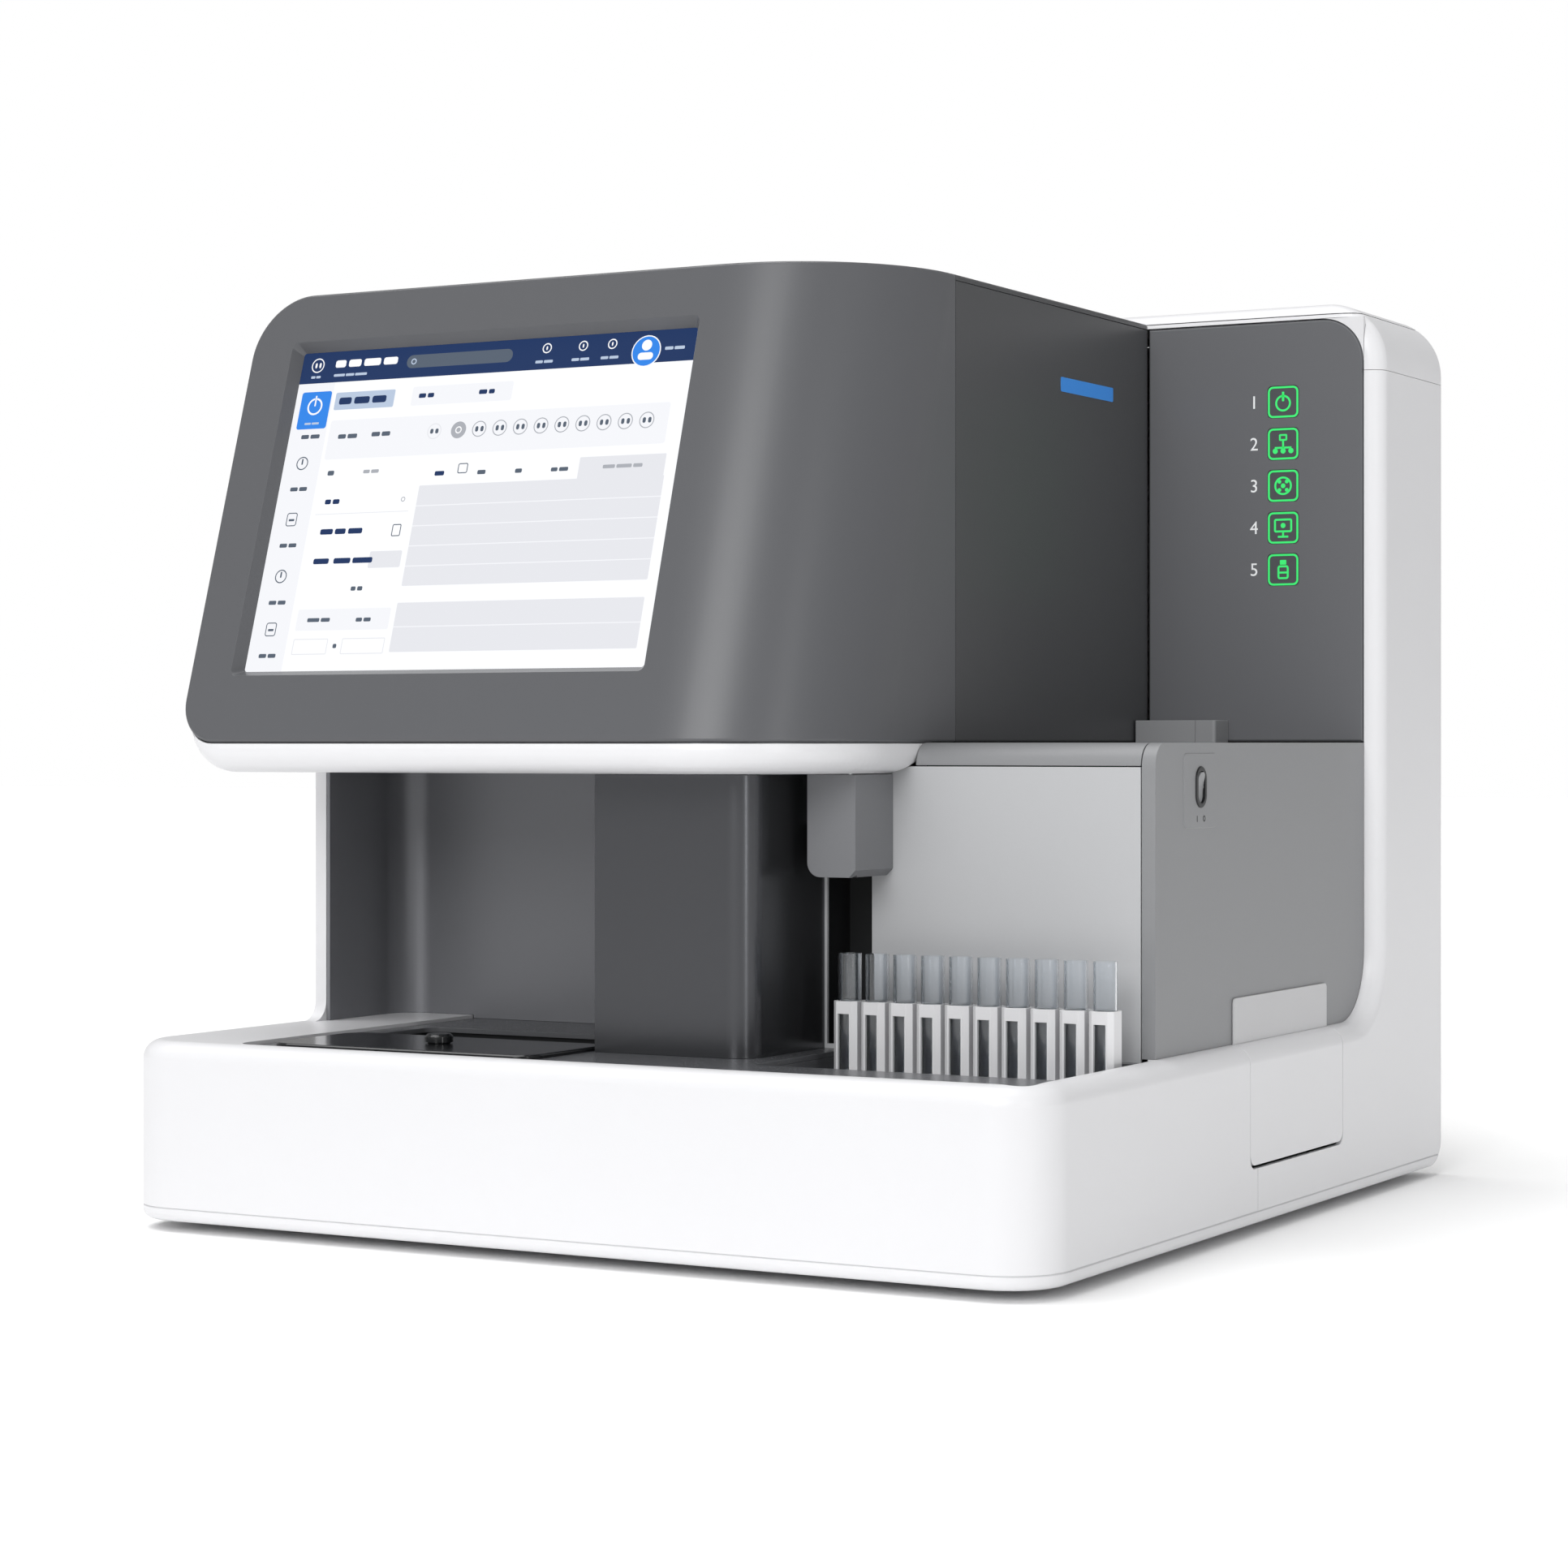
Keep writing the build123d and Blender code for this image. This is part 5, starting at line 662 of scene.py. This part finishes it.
        hang(picture, (low + high) / 2 + out * (1.0 * MM), (1, 0, 0), up)
        seat(picture, "screen_picture", body_of("display_glass"))
        return {"FINISHED"}


class ANALYZER_OT_status(bpy.types.Operator):
    """Draws the five green icons and their plain numbers on the tower's panel"""
    bl_idname = "analyzer.status"
    bl_label = "Status icons"

    def execute(self, context):
        settings = context.scene.analyzer_status
        low, high = (Vector(corner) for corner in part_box("indicator_lenses"))
        count = 5
        tall = 20.0
        pitch = ((high.z - low.z) / MM - tall) / (count - 1)
        wide = (high.x - low.x) / MM
        green, white = [], []
        line = settings.line
        for index in range(count):
            cy = -index * pitch
            green.append(frame_flat(wide - 0.6, tall - 0.4, 3.4, line, (0, cy)))
            green += self.glyph(index, cy, line)
            clear_selection()
            bpy.ops.object.text_add()
            digit = bpy.context.object
            digit.data.body = str(index + 1)
            digit.data.size = settings.digit / 0.7
            digit.data.align_x = "RIGHT"
            digit.data.align_y = "CENTER"
            activate(digit)
            bpy.ops.object.convert(target="MESH")
            digit = bpy.context.object
            digit.location = (-wide / 2 - settings.digit_gap, cy, 0)
            bpy.ops.object.transform_apply(location=True, rotation=True, scale=True)
            white.append(digit)
        middle = Vector(((low.x + high.x) / 2, low.y - 0.00008, high.z - tall / 2 * MM))
        icons = hang(joined(green), middle, (1, 0, 0), (0, 0, 1))
        thicken(icons, 0.12)
        seat(icons, "status_icons", "base", "icon_green")
        panel_low = Vector(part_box("icon_panel")[0])
        numbers = hang(joined(white), Vector((middle.x, panel_low.y - STAND_OFF, middle.z)), (1, 0, 0), (0, 0, 1))
        thicken(numbers, 0.1)
        seat(numbers, "status_numbers", "base", "label_white")
        return {"FINISHED"}

    def glyph(self, index, cy, line):
        """Flats of one sign: power, link, disc, system, reagent."""
        if index == 0:
            return [disc_flat(5.2, (0, cy - 0.8), 5.2 - line), rounded_flat(line * 1.2, 6.0, 0.4, (0, cy + 3.4))]
        if index == 1:
            return [frame_flat(5.4, 4.2, 0.8, line * 0.9, (0, cy + 4.0)), rounded_flat(line, 4.6, 0, (0, cy - 0.2)),
                    rounded_flat(11.0, line, 0, (0, cy - 2.4)), disc_flat(1.7, (-5.2, cy - 4.4)),
                    disc_flat(1.7, (0, cy - 4.4)), disc_flat(1.7, (5.2, cy - 4.4))]
        if index == 2:
            return [disc_flat(5.8, (0, cy), 5.8 - line), disc_flat(1.5, (0, cy)), disc_flat(1.2, (-2.4, cy + 2.6)),
                    disc_flat(1.2, (2.4, cy + 2.6)), disc_flat(1.2, (-2.4, cy - 2.6)),
                    disc_flat(1.2, (2.4, cy - 2.6))]
        if index == 3:
            return [frame_flat(12.0, 8.6, 1.4, line, (0, cy + 1.4)), rounded_flat(7.0, line, 0.3, (0, cy - 5.6)),
                    rounded_flat(line, 2.6, 0, (0, cy - 3.9)), disc_flat(1.6, (0, cy + 1.4))]
        return [frame_flat(7.4, 8.6, 1.6, line, (0, cy - 1.6)), rounded_flat(4.2, 3.0, 0.5, (0, cy + 4.6)),
                rounded_flat(4.8, line, 0, (0, cy - 1.8))]


class ANALYZER_OT_marks(bpy.types.Operator):
    """Adds the plain blue bar on the head's flank and the switch's two signs"""
    bl_idname = "analyzer.marks"
    bl_label = "Plain marks"

    def execute(self, context):
        high = Vector(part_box("head_hood")[1])
        bar = hang(rounded_flat(*BAR_SIZE, (0, 0)), (high.x + STAND_OFF, BAR_Y, BAR_Z), (0, 1, 0), (0, 0, 1))
        thicken(bar, 0.25)
        seat(bar, "flank_bar", "base", "badge_blue")
        face = Vector(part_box("right_side_cover")[1])
        rocker = (Vector(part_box("switch_bezel")[0]) + Vector(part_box("switch_bezel")[1])) / 2
        signs = [rounded_flat(0.7, 3.4, 0.2, (-5.0, -17.4)), disc_flat(1.7, (5.0, -17.4), 1.1)]
        mark = hang(joined(signs), (face.x + STAND_OFF, rocker.y, rocker.z), (0, 1, 0), (0, 0, 1))
        thicken(mark, 0.08)
        seat(mark, "switch_signs", "base", "mark_black")
        return {"FINISHED"}


class ANALYZER_OT_stage(bpy.types.Operator):
    """Sets the pale floor, the soft lights and the camera"""
    bl_idname = "analyzer.stage"
    bl_label = "Floor, lights and camera"

    def execute(self, context):
        settings = context.scene.analyzer_stage
        clear_selection()
        bpy.ops.mesh.primitive_plane_add(size=settings.floor_size, location=(0, 0, 0))
        floor = bpy.context.object
        floor.name = "floor"
        material = bpy.data.materials.new("studio_paper")
        material.use_nodes = True
        tree = material.node_tree
        tree.nodes.clear()
        place = add_node(tree, "ShaderNodeTexCoord").outputs["Object"]
        grain = add_node(tree, "ShaderNodeTexNoise", {"Scale": 40.0, "Detail": 2.0}, {"Vector": place}).outputs["Fac"]
        rough = add_node(tree, "ShaderNodeMapRange", {"To Min": 0.85, "To Max": 0.95}, {"Value": grain})
        bsdf = add_node(tree, "ShaderNodeBsdfPrincipled", {"Base Color": tuple(settings.floor_colour),
                                                           "Specular IOR Level": 0.1},
                        {"Roughness": rough.outputs["Result"]})
        add_node(tree, "ShaderNodeOutputMaterial", None, {"Surface": bsdf.outputs["BSDF"]})
        floor.data.materials.append(material)
        context.scene.world = self.studio_world(settings)
        context.scene.view_settings.view_transform = "Standard"
        aim = Vector((0, 0, 0.27))
        clear_selection()
        for name, place, strength, angle in (
            ("overhead", (-0.75, -0.45, 3.0), settings.top_power, settings.top_angle),
            ("front", (0.4, -2.7, 1.22), settings.key_power, settings.key_angle),
        ):
            clear_selection()
            bpy.ops.object.light_add(type="SUN", location=place)
            sun = bpy.context.object
            sun.name = name
            sun.data.energy = strength
            sun.data.angle = math.radians(angle)
            sun.rotation_euler = (Vector((0, 0, 0)) - sun.location).to_track_quat("-Z", "Y").to_euler()
        clear_selection()
        bpy.ops.object.light_add(type="AREA", location=(2.55, -1.6, 0.75))
        strip = bpy.context.object
        strip.name = "strip"
        strip.data.shape = "RECTANGLE"
        strip.data.size, strip.data.size_y = 0.16, 1.6
        strip.data.energy = settings.strip_power
        strip.rotation_euler = (aim - strip.location).to_track_quat("-Z", "Y").to_euler()
        clear_selection()
        bpy.ops.object.camera_add(location=(1.0144, -1.8604, 0.278))
        camera = bpy.context.object
        camera.data.lens = settings.focal
        camera.data.sensor_width = 36.0
        camera.data.shift_y = -0.0264
        yaw = math.radians(29.2)
        camera.rotation_euler = Vector((-math.sin(yaw), math.cos(yaw), 0)).to_track_quat("-Z", "Y").to_euler()
        camera.data.clip_end = 100.0
        context.scene.camera = camera
        return {"FINISHED"}

    def studio_world(self, settings):
        """Makes the even background: white to the camera, dimmer as a light on the object."""
        world = bpy.data.worlds.new("studio")
        world.use_nodes = True
        tree = world.node_tree
        tree.nodes.clear()
        path = add_node(tree, "ShaderNodeLightPath")
        light = add_node(tree, "ShaderNodeBackground", {"Color": (1, 1, 1, 1), "Strength": settings.sky})
        paper = add_node(tree, "ShaderNodeBackground", {"Color": (1, 1, 1, 1), "Strength": settings.backdrop})
        both = add_node(tree, "ShaderNodeMixShader", None, {"Fac": path.outputs["Is Camera Ray"]})
        tree.links.new(light.outputs["Background"], both.inputs[1])
        tree.links.new(paper.outputs["Background"], both.inputs[2])
        add_node(tree, "ShaderNodeOutputWorld", None, {"Surface": both.outputs["Shader"]})
        return world


class ANALYZER_PT_panel(bpy.types.Panel):
    """Lists the analyzer's settings and the steps that make it"""
    bl_idname = "ANALYZER_PT_panel"
    bl_label = "Analyzer"
    bl_space_type = "VIEW_3D"
    bl_region_type = "UI"
    bl_category = "Analyzer"

    def draw(self, context):
        scene = context.scene
        for group in (scene.analyzer_screen, scene.analyzer_status, scene.analyzer_stage):
            box = self.layout.box()
            for name in group.__annotations__:
                box.prop(group, name)
        for operator in OPERATORS:
            self.layout.operator(operator.bl_idname)


OPERATORS = (ANALYZER_OT_covers, ANALYZER_OT_screen, ANALYZER_OT_status, ANALYZER_OT_marks, ANALYZER_OT_stage)
GROUPS = (AnalyzerScreenSettings, AnalyzerStatusSettings, AnalyzerStageSettings)


def register():
    for item in GROUPS + OPERATORS + (ANALYZER_PT_panel,):
        bpy.utils.register_class(item)
    bpy.types.Scene.analyzer_screen = bpy.props.PointerProperty(type=AnalyzerScreenSettings)
    bpy.types.Scene.analyzer_status = bpy.props.PointerProperty(type=AnalyzerStatusSettings)
    bpy.types.Scene.analyzer_stage = bpy.props.PointerProperty(type=AnalyzerStageSettings)


def unregister():
    del bpy.types.Scene.analyzer_screen
    del bpy.types.Scene.analyzer_status
    del bpy.types.Scene.analyzer_stage
    for item in reversed(GROUPS + OPERATORS + (ANALYZER_PT_panel,)):
        bpy.utils.unregister_class(item)


def main():
    register()
    bpy.ops.analyzer.covers()
    bpy.ops.analyzer.screen()
    bpy.ops.analyzer.status()
    bpy.ops.analyzer.marks()
    bpy.ops.analyzer.stage()


if __name__ == "__main__":
    main()
